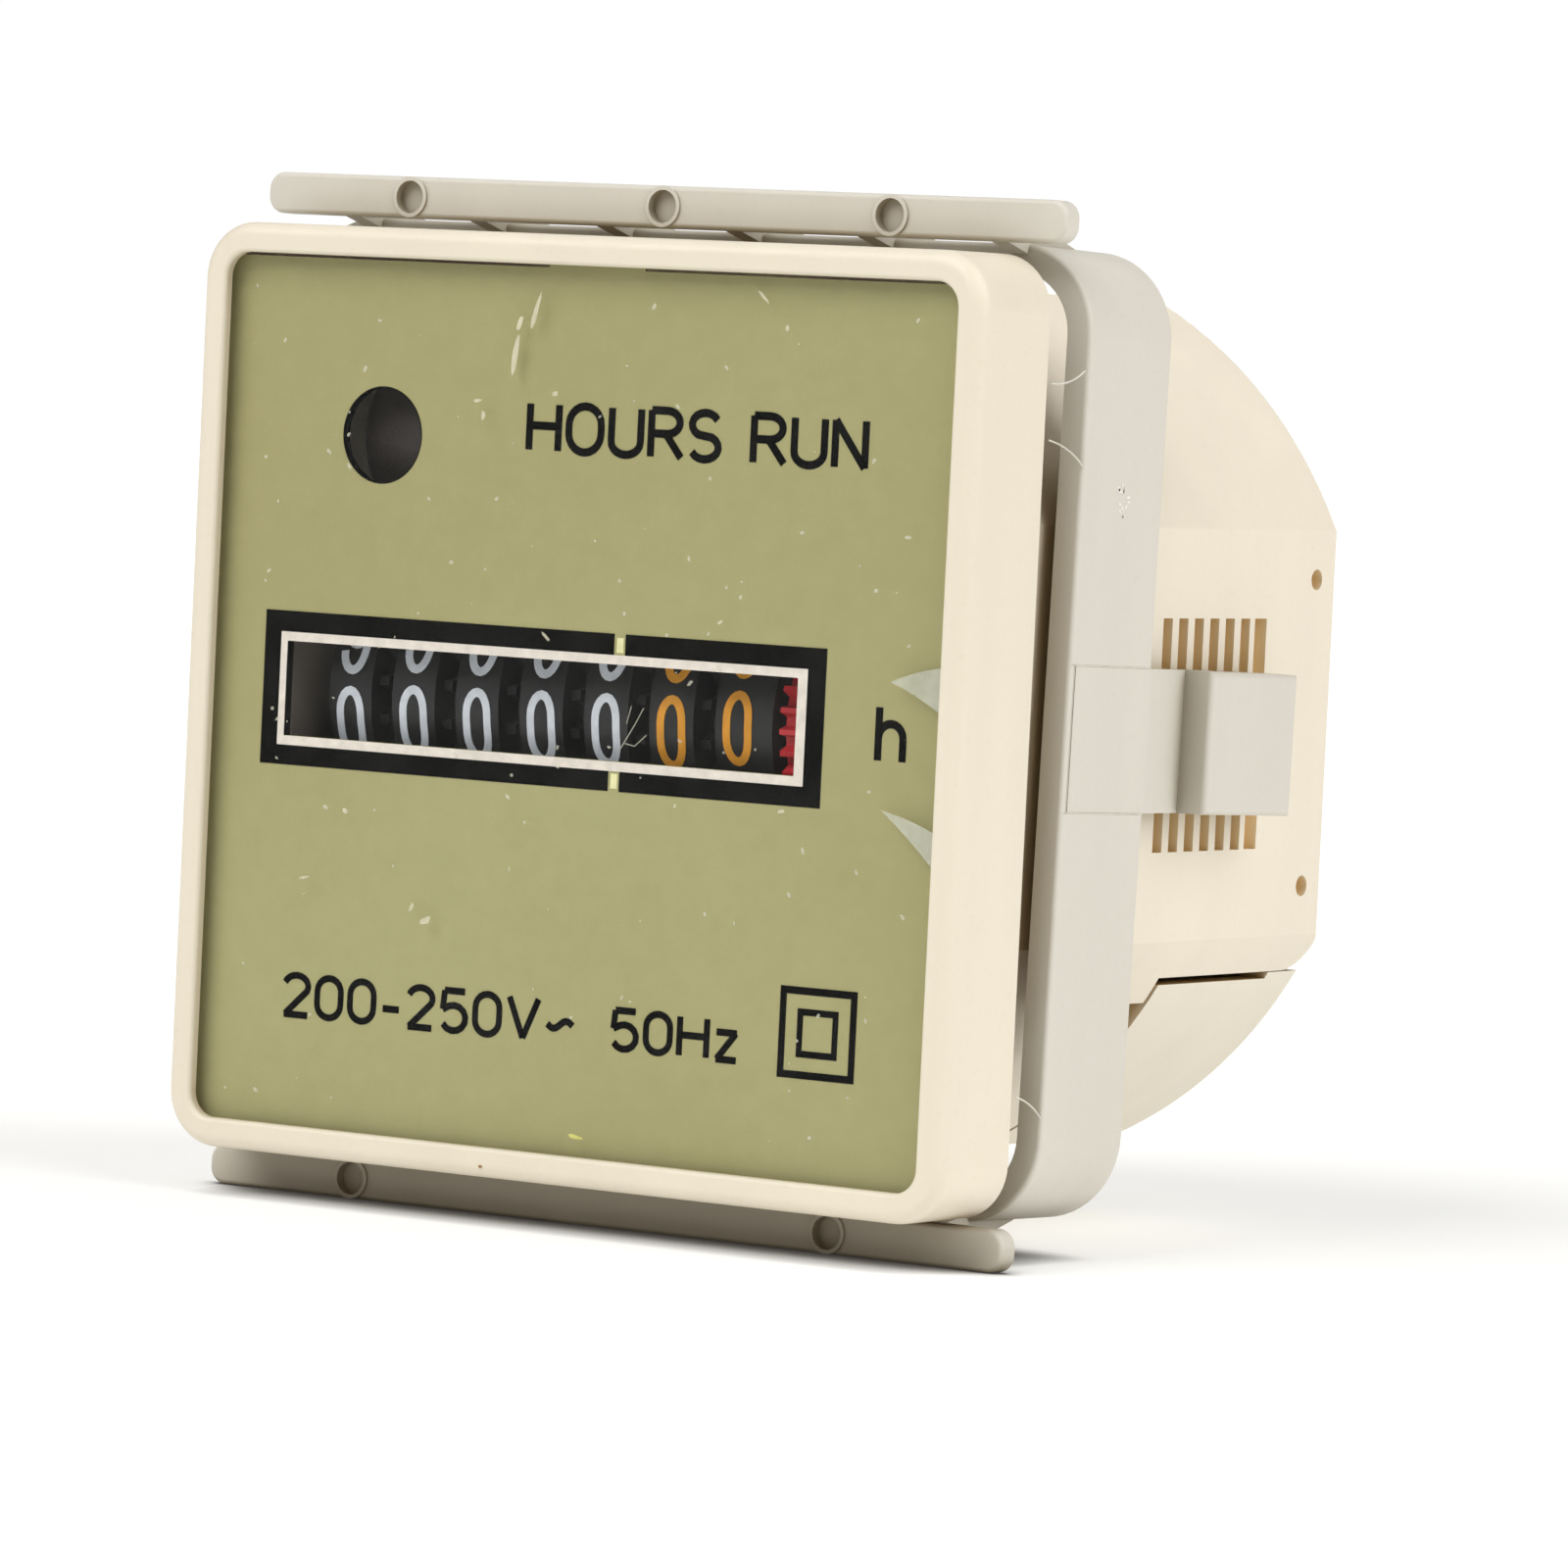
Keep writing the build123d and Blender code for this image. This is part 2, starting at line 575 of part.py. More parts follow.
def reduction_gear(index):
    """Compound gear: pinion towards the drums, wheel towards the motor."""
    pinion_phase, wheel_phase = train_phases()[index]
    axis = GEAR_AXES[index]
    module = DRIVE_MODULE if index == 0 else FINE_MODULE
    x0 = PLATE_X1 + 2 * GEAR_END_GAP if index == 0 else WHEEL_X0[index - 1] - GEAR_END_GAP
    wheel_x0 = WHEEL_X0[index]
    wheel_x1 = wheel_x0 + WHEEL_THICK
    compound = gear(axis, PINION_TEETH, module, pinion_phase, x0, wheel_x0)
    compound += gear(axis, WHEEL_TEETH[index], FINE_MODULE, wheel_phase, wheel_x0, wheel_x1)
    return compound - disc_x(axis, POST_R + RUN_FIT, -FAR, FAR)


def gear_posts():
    """Fixed posts of the three reduction gears."""
    posts = [disc_x(axis, POST_R, PLATE_X0, x1) for axis, x1 in zip(GEAR_AXES, POST_X1)]
    return Compound(children=posts)


def counter_frame():
    """Moulded counter chassis: left cheek, base bar and right arm."""
    cheek = block(CHEEK_X0, CHEEK_X1, DIAL_Y1 + CHASSIS_GAP, CHEEK_Y1, BASE_Z0, CHEEK_Z1)
    cheek += disc_x(TRANSFER_AXIS, CHEEK_BOSS_R, CHEEK_X0, CHEEK_X1)
    base_reach = FLATS / 2 - WALL
    base = block(-base_reach, base_reach, -BASE_HALF, BASE_HALF, BASE_Z0, BASE_Z1)
    arm = hull_plate((DRUM_AXIS, TRANSFER_AXIS, ARM_FOOT), ARM_DISCS, ARM_X0, ARM_X1)
    frame = cheek + base + arm
    frame -= disc_x(DRUM_AXIS, AXLE_R, -FAR, FAR)
    return frame - disc_x(TRANSFER_AXIS, TRANSFER_AXLE_R, -FAR, FAR)


def gear_plate():
    """Inner plate that carries the gear posts and the motor."""
    face = Sketch()
    for y, z, width, height in PLATE_PATCHES:
        face += Pos(y, z) * Rectangle(width, height)
    face -= Pos(*DRUM_AXIS) * Circle(DRUM_R + PLATE_DRUM_GAP)
    plate = slab_x(face, PLATE_X0, PLATE_X1)
    plate -= disc_x(TRANSFER_AXIS, TRANSFER_AXLE_R, -FAR, FAR)
    plate -= disc_x(MOTOR_AXIS, SHAFT_HOLE_R, -FAR, FAR)
    for axis in GEAR_AXES[:-1]:
        plate -= disc_x(axis, POST_R, -FAR, FAR)
    return plate


# ---------------------------------------------------------------- running indicator
def indicator_phases():
    """Phases of the motor's left pinion, the idler and the indicator's gear."""
    to_idler = heading(MOTOR_AXIS, IDLER_AXIS)
    onward = heading(IDLER_AXIS, INDICATOR_AXIS)
    idler = mesh_phase(to_idler, PINION_TEETH, to_idler, IDLER_TEETH)
    return to_idler, idler, mesh_phase(idler, IDLER_TEETH, onward, INDICATOR_TEETH)


def indicator_drum():
    """Small drum that turns behind the round window."""
    phase = indicator_phases()[2]
    drum = disc_x(INDICATOR_AXIS, INDICATOR_R, INDICATOR_X0, INDICATOR_X1)
    drum += disc_x(INDICATOR_AXIS, INDICATOR_HUB_R, INDICATOR_X1, IDLER_X0)
    drum += gear(INDICATOR_AXIS, INDICATOR_TEETH, FINE_MODULE, phase, IDLER_X0, IDLER_X1)
    return drum - disc_x(INDICATOR_AXIS, POST_R + RUN_FIT, -FAR, FAR)


def indicator_idler():
    phase = indicator_phases()[1]
    wheel = gear(IDLER_AXIS, IDLER_TEETH, FINE_MODULE, phase, IDLER_X0, IDLER_X1)
    return wheel - disc_x(IDLER_AXIS, POST_R + RUN_FIT, -FAR, FAR)


def indicator_posts():
    """Fixed posts of the idler and of the indicator drum."""
    idler_post = disc_x(IDLER_AXIS, POST_R, SHAFT_X0, BRACKET_X1)
    drum_post = disc_x(INDICATOR_AXIS, POST_R, INDICATOR_POST_X0, BRACKET_X1)
    return Compound(children=[idler_post, drum_post])


def motor_bracket():
    """Left plate that carries the running indicator and the motor's left end."""
    centres = (INDICATOR_AXIS, IDLER_AXIS, MOTOR_AXIS)
    plate = hull_plate(centres, BRACKET_DISCS, BRACKET_X0, BRACKET_X1)
    plate -= disc_x(MOTOR_AXIS, SHAFT_HOLE_R, -FAR, FAR)
    for axis in (IDLER_AXIS, INDICATOR_AXIS):
        plate -= disc_x(axis, POST_R, -FAR, FAR)
    return plate


# ---------------------------------------------------------------- motor
def motor_cup(side):
    """Half of the motor's claw-pole stator: side 1 is the right half, -1 the left."""
    middle = (MOTOR_X0 + MOTOR_X1) / 2
    end = MOTOR_X1 if side > 0 else MOTOR_X0
    inner_end = end - side * CUP_WALL
    cup = tube_x(MOTOR_AXIS, MOTOR_R, MOTOR_R - CUP_WALL, *sorted((middle + side * CUP_GAP, end)))
    cup += tube_x(MOTOR_AXIS, MOTOR_R, SHAFT_R + RUN_FIT, *sorted((inner_end, end)))
    claw_end = inner_end - side * CLAW_LEN
    ring = tube_x(MOTOR_AXIS, CLAW_R1, CLAW_R0, *sorted((claw_end, inner_end)))
    offset = 0.0 if side > 0 else 180.0 / CLAW_COUNT
    for i in range(CLAW_COUNT):
        middle_angle = offset + i * 360.0 / CLAW_COUNT
        first = polar(MOTOR_AXIS, MOTOR_R, middle_angle - CLAW_HALF_ANGLE)
        second = polar(MOTOR_AXIS, MOTOR_R, middle_angle + CLAW_HALF_ANGLE)
        cup += ring & slab_x(outline(MOTOR_AXIS, first, second), -FAR, FAR)
    return cup


def coil_bobbin():
    x0 = MOTOR_X0 + CUP_WALL
    x1 = MOTOR_X1 - CUP_WALL
    bobbin = tube_x(MOTOR_AXIS, BOBBIN_R1, BOBBIN_R0, x0, x1)
    for start in (x0, x1 - BOBBIN_WALL):
        bobbin += tube_x(MOTOR_AXIS, BOBBIN_R2, BOBBIN_R0, start, start + BOBBIN_WALL)
    return bobbin


def coil_winding():
    inset = CUP_WALL + BOBBIN_WALL
    return tube_x(MOTOR_AXIS, COIL_R, BOBBIN_R1, MOTOR_X0 + inset, MOTOR_X1 - inset)


def rotor_magnet():
    return tube_x(MOTOR_AXIS, MAGNET_R, SHAFT_R, MAGNET_X0, MAGNET_X1)


def rotor_shaft():
    return disc_x(MOTOR_AXIS, SHAFT_R, SHAFT_X0, SHAFT_X1)


def rotor_pinion():
    phase = train_phases()[-1][0]
    x0 = WHEEL_X0[2] - GEAR_END_GAP
    pinion = gear(MOTOR_AXIS, PINION_TEETH, FINE_MODULE, phase, x0, SHAFT_X1 - PINION_INSET)
    return pinion - disc_x(MOTOR_AXIS, SHAFT_R, -FAR, FAR)


def indicator_pinion():
    phase = indicator_phases()[0]
    x0 = SHAFT_X0 + PINION_INSET
    pinion = gear(MOTOR_AXIS, PINION_TEETH, FINE_MODULE, phase, x0, IDLER_X1 + PINION_INSET)
    return pinion - disc_x(MOTOR_AXIS, SHAFT_R, -FAR, FAR)


# ---------------------------------------------------------------- electrical parts
def circuit_board():
    board = block(BOARD_X0, BOARD_X1, BOARD_Y0, BOARD_Y1, BOARD_Z0, BOARD_Z1)
    for x in (-TERMINAL_X, TERMINAL_X):
        board -= slab_z(Pos(x, LEAD_Y) * Circle(LEAD_R), -FAR, FAR)
    return board


def series_resistor():
    """Axial dropper resistor lying on the board, with its two bent legs."""
    y, z = RESISTOR_AXIS
    part = disc_x(RESISTOR_AXIS, RESISTOR_R, RESISTOR_X0, RESISTOR_X1)
    part += disc_x(RESISTOR_AXIS, RESISTOR_LEG_R, *RESISTOR_LEG_XS)
    for x in RESISTOR_LEG_XS:
        part += slab_z(Pos(x, y) * Circle(RESISTOR_LEG_R), BOARD_Z1, z + RESISTOR_LEG_R)
    return part


def film_capacitor():
    return block(
        CAPACITOR_X0, CAPACITOR_X1, CAPACITOR_Y0, CAPACITOR_Y1, BOARD_Z1, CAPACITOR_Z1
    )


def terminal_leads():
    """Two pins from the board down to the terminal plates."""
    pins = []
    for x in (-TERMINAL_X, TERMINAL_X):
        pins.append(slab_z(Pos(x, LEAD_Y) * Circle(LEAD_R), BLOCK_Z0, BOARD_Z1 + LEAD_PROUD))
    return Compound(children=pins)


def terminal_block():
    """Insulating block with a barrier between the two terminals."""
    body = block(-BLOCK_HALF_X, BLOCK_HALF_X, BLOCK_Y0, BLOCK_Y1, BLOCK_Z0, SHELF_Z)
    barrier_z0 = BLOCK_Z0 - BARRIER_DROP
    body += block(-BARRIER_HALF_X, BARRIER_HALF_X, BARRIER_Y0, BLOCK_Y1, barrier_z0, BLOCK_Z0)
    for x in (-TERMINAL_X, TERMINAL_X):
        hole = Pos(x, TERMINAL_Y) * Circle(SCREW_R + RUN_FIT)
        body -= slab_z(hole, BLOCK_Z0, SHELF_Z - SCREW_HOLE_ROOF)
        body -= slab_z(Pos(x, LEAD_Y) * Circle(LEAD_R), -FAR, FAR)
    return body


def terminal_plates():
    """Brass contact plates under the block."""
    plates = []
    for x in (-TERMINAL_X, TERMINAL_X):
        x0, x1 = x - CONTACT_HALF_X, x + CONTACT_HALF_X
        plate = block(x0, x1, CONTACT_Y0, CONTACT_Y1, BLOCK_Z0 - CONTACT_THICK, BLOCK_Z0)
        plates.append(plate - slab_z(Pos(x, TERMINAL_Y) * Circle(SCREW_R + RUN_FIT), -FAR, FAR))
    return Compound(children=plates)


def wire_clamps():
    """Square washers that press the wires on the plates."""
    clamps = []
    for x in (-TERMINAL_X, TERMINAL_X):
        square = Pos(x, TERMINAL_Y) * Rectangle(2 * WASHER_HALF, 2 * WASHER_HALF)
        square -= Pos(x, TERMINAL_Y) * Circle(SCREW_R + RUN_FIT)
        clamps.append(slab_z(square, WASHER_Z0, BLOCK_Z0 - CONTACT_THICK))
    return Compound(children=clamps)


def terminal_screw(side):
    """Slotted screw, head down, on the left (-1) or the right (1)."""
    head_top = WASHER_Z0 - SCREW_SLACK
    head_bottom = head_top - SCREW_HEAD_TALL
    spot = Pos(side * TERMINAL_X, TERMINAL_Y)
    screw = slab_z(spot * Circle(SCREW_HEAD_R), head_bottom, head_top)
    screw += slab_z(spot * Circle(SCREW_R), head_top, SHELF_Z - SCREW_HOLE_ROOF - SCREW_END_GAP)
    slot = spot * Rectangle(SCREW_SLOT_W, 2 * (SCREW_HEAD_R + OVERRUN))
    return screw - slab_z(slot, head_bottom - OVERRUN, head_bottom + SCREW_SLOT_DEEP)


# ---------------------------------------------------------------- write every node
def all_nodes():
    right_tongue = leaning(latch_tongue())
    nodes = {
        "front_bezel": front_bezel(),
        "dial_window": dial_window(),
        "dial_plate": dial_plate(),
        "housing": housing(),
        "terminal_cover": terminal_cover(),
        "clamp_frame": clamp_frame(),
        "latch_tongue_right": right_tongue,
        "latch_tongue_left": mirror(right_tongue, about=Plane.YZ),
        "counter_frame": counter_frame(),
        "gear_plate": gear_plate(),
        "drum_axle": disc_x(DRUM_AXIS, AXLE_R, CHEEK_X0, ARM_X1),
        "transfer_axle": disc_x(TRANSFER_AXIS, TRANSFER_AXLE_R, CHEEK_X0, ARM_X1),
        "drive_gear": drive_gear(),
        "gear_posts": gear_posts(),
        "indicator_drum": indicator_drum(),
        "indicator_idler": indicator_idler(),
        "indicator_posts": indicator_posts(),
        "motor_bracket": motor_bracket(),
        "motor_cup_right": motor_cup(1),
        "motor_cup_left": motor_cup(-1),
        "coil_bobbin": coil_bobbin(),
        "coil_winding": coil_winding(),
        "rotor_magnet": rotor_magnet(),
        "rotor_shaft": rotor_shaft(),
        "rotor_pinion": rotor_pinion(),
        "indicator_pinion": indicator_pinion(),
        "circuit_board": circuit_board(),
        "series_resistor": series_resistor(),
        "film_capacitor": film_capacitor(),
        "terminal_leads": terminal_leads(),
        "terminal_block": terminal_block(),
        "terminal_plates": terminal_plates(),
        "wire_clamps": wire_clamps(),
        "terminal_screw_right": terminal_screw(1),
        "terminal_screw_left": terminal_screw(-1),
    }
    for i in range(DRUM_COUNT):
        nodes[f"digit_drum_{i + 1}"] = digit_drum(i)
    for i in range(DRUM_COUNT - 1):
        nodes[f"transfer_pinion_{i + 1}"] = transfer_pinion(i)
    for i in range(len(WHEEL_TEETH)):
        nodes[f"reduction_gear_{i + 1}"] = reduction_gear(i)
    return nodes


for name, shape in all_nodes().items():
    export_step(shape, f"parts/{name}.step")
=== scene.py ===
"""Looks of the square panel hour meter: materials, printed dial, number wheels, window wear, studio."""

import math
import random

import bpy
from mathutils import Matrix, Vector


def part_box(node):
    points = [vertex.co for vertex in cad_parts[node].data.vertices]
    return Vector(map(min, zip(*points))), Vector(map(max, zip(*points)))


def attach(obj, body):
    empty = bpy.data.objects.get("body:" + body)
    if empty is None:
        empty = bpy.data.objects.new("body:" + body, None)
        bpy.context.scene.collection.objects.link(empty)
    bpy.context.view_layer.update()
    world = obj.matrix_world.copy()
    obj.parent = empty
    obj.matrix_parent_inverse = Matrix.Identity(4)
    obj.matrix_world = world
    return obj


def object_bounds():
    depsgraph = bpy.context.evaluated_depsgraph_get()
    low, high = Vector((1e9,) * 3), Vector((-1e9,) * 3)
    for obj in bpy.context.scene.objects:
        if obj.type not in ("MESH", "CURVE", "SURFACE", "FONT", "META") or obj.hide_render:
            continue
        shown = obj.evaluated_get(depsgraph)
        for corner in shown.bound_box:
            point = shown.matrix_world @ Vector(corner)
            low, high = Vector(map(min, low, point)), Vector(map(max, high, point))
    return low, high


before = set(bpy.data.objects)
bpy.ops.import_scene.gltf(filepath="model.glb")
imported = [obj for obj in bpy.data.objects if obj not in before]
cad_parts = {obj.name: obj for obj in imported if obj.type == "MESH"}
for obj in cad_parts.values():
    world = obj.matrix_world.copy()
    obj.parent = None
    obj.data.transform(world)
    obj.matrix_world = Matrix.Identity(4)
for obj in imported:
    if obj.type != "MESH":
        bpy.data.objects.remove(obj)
cad_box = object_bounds()

MM = 0.001
ROOT = "housing_group"
CREVICE = 3.5 * MM      # gaps and grooves up to about this width get painted shade
CONTACT = 3.0 * MM      # reach of the shade under the object on the floor
REAR_Y = 12.0 * MM      # behind this the painted shade in the housing's grooves is a paler tan


# ---------------------------------------------------------------- colours
def linear(r, g, b):
    """A colour given as 0 to 255 screen values, in linear light with an alpha of 1."""
    def one(v):
        v /= 255.0
        return v / 12.92 if v <= 0.04045 else ((v + 0.055) / 1.055) ** 2.4
    return (one(r), one(g), one(b), 1.0)


# ---------------------------------------------------------------- materials
class Shader:
    """A material with one Principled node, and short calls that add the nodes before it."""

    def __init__(self, name):
        self.material = bpy.data.materials.new(name)
        self.material.use_nodes = True
        self.nodes = self.material.node_tree.nodes
        self.links = self.material.node_tree.links
        self.principled = self.nodes["Principled BSDF"]
        self.output = self.nodes["Material Output"]
        self.place = self.add("ShaderNodeTexCoord").outputs["Object"]

    def add(self, kind, **settings):
        node = self.nodes.new(kind)
        for key, value in settings.items():
            setattr(node, key, value)
        return node

    def set(self, **values):
        for key, value in values.items():
            self.principled.inputs[key.replace("_", " ")].default_value = value

    def stretched(self, scale):
        """Object coordinates scaled per axis; a small factor draws marks out along that axis."""
        mapping = self.add("ShaderNodeMapping")
        mapping.inputs["Scale"].default_value = scale
        self.links.new(self.place, mapping.inputs["Vector"])
        return mapping.outputs["Vector"]

    def noise(self, scale, detail=3.0, rough=0.5, stretch=None):
        """Noise from 0 to 1, with scale in cycles per metre."""
        node = self.add("ShaderNodeTexNoise")
        node.inputs["Scale"].default_value = scale
        node.inputs["Detail"].default_value = detail
        node.inputs["Roughness"].default_value = rough
        self.links.new(self.stretched(stretch) if stretch else self.place, node.inputs["Vector"])
        return node.outputs["Fac"]

    def ramp(self, value, *stops):
        """Colours between (position, colour) stops."""
        node = self.add("ShaderNodeValToRGB")
        elements = node.color_ramp.elements
        while len(elements) < len(stops):
            elements.new(0.5)
        for element, (position, colour) in zip(elements, stops):
            element.position = position
            element.color = colour
        self.links.new(value, node.inputs["Fac"])
        return node.outputs["Color"]

    def span(self, value, low, high, source=(0.3, 0.7)):
        """The value moved from its source range to the span from low to high."""
        node = self.add("ShaderNodeMapRange")
        node.inputs["From Min"].default_value = source[0]
        node.inputs["From Max"].default_value = source[1]
        node.inputs["To Min"].default_value = low
        node.inputs["To Max"].default_value = high
        self.links.new(value, node.inputs["Value"])
        return node.outputs["Result"]

    def mix(self, share, a, b, blend="MIX"):
        """Blend of two colours, each a socket or a plain colour."""
        node = self.add("ShaderNodeMix", data_type="RGBA", blend_type=blend)
        for socket, value in ((node.inputs["Factor"], share), (node.inputs[6], a), (node.inputs[7], b)):
            if hasattr(value, "links"):
                self.links.new(value, socket)
            else:
                socket.default_value = value
        return node.outputs[2]

    def open_sky(self, distance, samples):
        """1 in the open and less in gaps and corners about that wide."""
        node = self.add("ShaderNodeAmbientOcclusion", samples=samples)
        node.inputs["Distance"].default_value = distance
        return node.outputs["AO"]

    def colour(self, value):
        self.links.new(value, self.principled.inputs["Base Color"])

    def rough(self, value):
        self.links.new(value, self.principled.inputs["Roughness"])

    def bump(self, value, depth, strength=1.0):
        """Relief up to depth metres high."""
        node = self.add("ShaderNodeBump")
        node.inputs["Distance"].default_value = depth
        node.inputs["Strength"].default_value = strength
        self.links.new(value, node.inputs["Height"])
        self.links.new(node.outputs["Normal"], self.principled.inputs["Normal"])


CLEAN = (1, 1, 1, 1)
ALONG_X = (0.1, 1.0, 1.0)
ALONG_Y = (1.0, 0.3, 1.0)
ALONG_Z = (1.0, 1.0, 0.12)


def tone(colour, gain):
    """The colour made lighter or darker."""
    return (*(min(1.0, c * gain) for c in colour[:3]), 1.0)


def moulded(name, colour, roughness=0.42, grain=6e-6, crevice_shade=None, rear_crevice_shade=None, reach=0.62):
    """Injection-moulded plastic: faint flow lines along Z, fine spark-erosion grain and uneven gloss.

    Two optional tints are painted shade: one multiplied into grooves and narrow gaps, the other, a paler
    tan, into those behind the clamp ring; reach is how open a place may be to the sky and still have some
    of it."""
    s = Shader(name)
    dark, light = tone(colour, 0.982), tone(colour, 1.018)
    base = s.ramp(s.noise(260.0, 3.0, 0.5, ALONG_Z), (0.3, dark), (0.5, colour), (0.7, light))
    specks = s.ramp(s.noise(2400.0, 2.0, 0.6), (0.2, (0.93, 0.92, 0.90, 1)), (0.42, CLEAN))
    plastic = s.mix(0.5, base, specks, "MULTIPLY")
    # Painted shade: the colour is darkened and browned in gaps and grooves, more the less sky they see.
    if crevice_shade:
        sky = s.open_sky(CREVICE, 8)
        shade_tint = s.ramp(sky, (0.25, crevice_shade), (reach, CLEAN))
        if rear_crevice_shade:
            rear_shade_tint = s.ramp(sky, (0.25, rear_crevice_shade), (reach, CLEAN))
            where = s.add("ShaderNodeSeparateXYZ")
            s.links.new(s.place, where.inputs[0])
            share = s.span(where.outputs["Y"], 0.0, 1.0, (REAR_Y - MM, REAR_Y + MM))
            shade_tint = s.mix(share, shade_tint, rear_shade_tint)
        plastic = s.mix(1.0, plastic, shade_tint, "MULTIPLY")
    s.colour(plastic)
    s.rough(s.span(s.noise(420.0, 3.0), roughness - 0.07, roughness + 0.09))
    s.set(IOR=1.5, Specular_IOR_Level=0.42)
    s.bump(s.noise(5200.0, 2.0, 0.6), grain, 0.6)
    return s.material


def metal(name, colour, roughness, stretch):
    """Metal with drawn or turned marks along one direction."""
    s = Shader(name)
    marks = s.noise(900.0, 4.0, 0.6, stretch)
    s.colour(s.ramp(marks, (0.3, tone(colour, 0.72)), (0.7, tone(colour, 1.12))))
    s.rough(s.span(marks, roughness - 0.08, roughness + 0.12))
    s.set(Metallic=1.0)
    s.bump(marks, 3e-6)
    return s.material


def ink(name, colour, roughness=0.55, shine=0.4):
    """Screen-printed ink: nearly even, with pinhole texture."""
    s = Shader(name)
    s.set(Specular_IOR_Level=shine)
    s.colour(s.ramp(s.noise(1400.0, 3.0), (0.3, tone(colour, 0.86)), (0.7, tone(colour, 1.06))))
    s.rough(s.span(s.noise(2600.0), roughness - 0.08, roughness + 0.08))
    s.bump(s.noise(6000.0, 2.0), 2e-6, 0.5)
    return s.material


def dial_paint():
    """Olive dial paint: slow drift in tone and fine mottle."""
    s = Shader("dial_paint")
    s.set(Specular_IOR_Level=0.2)
    slow = s.ramp(s.noise(22.0, 2.0), (0.35, linear(160, 154, 106)), (0.65, linear(166, 162, 115)))
    mottle = s.ramp(s.noise(900.0, 4.0, 0.65), (0.3, (0.90, 0.91, 0.88, 1)), (0.7, (1, 1, 1, 1)))
    s.colour(s.mix(0.6, slow, mottle, "MULTIPLY"))
    s.rough(s.span(s.noise(500.0), 0.42, 0.56))
    s.bump(s.noise(3500.0, 3.0), 3e-6, 0.5)
    return s.material


def haze(name, colour, share, roughness=0.35):
    """A film or clear sheet that is seen only faintly: share is how much of it shows."""
    s = Shader(name)
    s.colour(s.ramp(s.noise(700.0, 3.0), (0.3, tone(colour, 0.9)), (0.7, colour)))
    s.set(Roughness=roughness)
    through = s.add("ShaderNodeBsdfTransparent")
    mix = s.add("ShaderNodeMixShader")
    s.links.new(s.span(s.noise(420.0, 3.0), share * 0.7, min(1.0, share * 1.3)), mix.inputs[0])
    s.links.new(through.outputs[0], mix.inputs[1])
    s.links.new(s.principled.outputs[0], mix.inputs[2])
    s.links.new(mix.outputs[0], s.output.inputs["Surface"])
    return s.material


def winding():
    """Enamelled wire laid in turns around the coil, along X."""
    s = Shader("copper_turns")
    wave = s.add("ShaderNodeTexWave", bands_direction="X")
    wave.inputs["Scale"].default_value = 1500.0
    wave.inputs["Distortion"].default_value = 0.6
    s.links.new(s.place, wave.inputs["Vector"])
    s.colour(s.ramp(wave.outputs["Fac"], (0.2, linear(110, 48, 22)), (0.8, linear(196, 112, 60))))
    s.set(Metallic=0.8, Roughness=0.35)
    s.bump(wave.outputs["Fac"], 5e-5)
    return s.material


def laminate():
    """Brown phenolic board with paper fibre."""
    s = Shader("phenolic_board")
    fibre = s.noise(600.0, 4.0, 0.6, (1.0, 1.0, 0.2))
    s.colour(s.ramp(fibre, (0.3, linear(148, 100, 48)), (0.7, linear(186, 138, 76))))
    s.rough(s.span(fibre, 0.42, 0.6))
    s.bump(fibre, 6e-6)
    return s.material


# Tints of the painted shade in gaps and grooves; the pale tan one is for the housing's grooves behind the
# clamp ring.
SHADE_BROWN = (0.52, 0.41, 0.24, 1)
SHADE_PALE_TAN = (1.0, 0.84, 0.56, 1)
SHADE_GREY = (0.5, 0.45, 0.36, 1)
MATERIALS = {
    "bezel": moulded("cream_bezel", linear(228, 218, 198), roughness=0.38, crevice_shade=SHADE_BROWN),
    "housing": moulded("cream_housing", linear(230, 220, 201), roughness=0.46, crevice_shade=SHADE_BROWN,
                       rear_crevice_shade=SHADE_PALE_TAN),
    "cover": moulded("cream_cover", linear(231, 223, 204), roughness=0.48, crevice_shade=SHADE_BROWN),
    "clamp": moulded("grey_clamp", linear(210, 205, 193), roughness=0.5, grain=8e-6, crevice_shade=SHADE_GREY,
                     reach=0.9),
    "window": haze("clear_sheet", linear(236, 236, 230), 0.008, 0.08),
    "dial": dial_paint(),
    "chassis": moulded("dark_chassis", linear(104, 96, 88), roughness=0.55),
    "drum": moulded("black_wheel", linear(28, 28, 30), roughness=0.45),
    "gear_red": moulded("red_wheel", linear(206, 44, 54), roughness=0.4),
    "gear_white": moulded("natural_acetal", linear(232, 230, 220), roughness=0.4),
    "steel": metal("ground_steel", linear(190, 190, 192), 0.3, ALONG_X),
    "plated": metal("zinc_plate", linear(188, 190, 190), 0.38, ALONG_Y),
    "copper": winding(),
    "magnet": moulded("ferrite", linear(62, 62, 66), roughness=0.6, grain=2e-5),
    "brass": metal("turned_brass", linear(214, 176, 96), 0.26, ALONG_Z),
    "board": laminate(),
    "resistor": moulded("cement_coat", linear(132, 150, 140), roughness=0.6, grain=2e-5),
    "capacitor": moulded("film_case", linear(196, 92, 44), roughness=0.25),
    "block": moulded("dark_phenolic", linear(66, 62, 58), roughness=0.5),
    "indicator": moulded("dark_indicator", linear(46, 38, 32), roughness=0.6),
}
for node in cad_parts.values():
    node.data.materials[0] = MATERIALS[node.data.materials[0].name]


# ---------------------------------------------------------------- mesh helpers
def piece(name, vertices, faces, material, body=ROOT, slot="dial"):
    """A new mesh, given in millimetres, that rides on a body."""
    mesh = bpy.data.meshes.new(name)
    mesh.from_pydata([tuple(c * MM for c in v) for v in vertices], [], faces)
    mesh.validate()
    mesh.update()
    mesh.materials.append(material)
    obj = bpy.data.objects.new(name, mesh)
    bpy.context.scene.collection.objects.link(obj)
    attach(obj, body)
    return obj


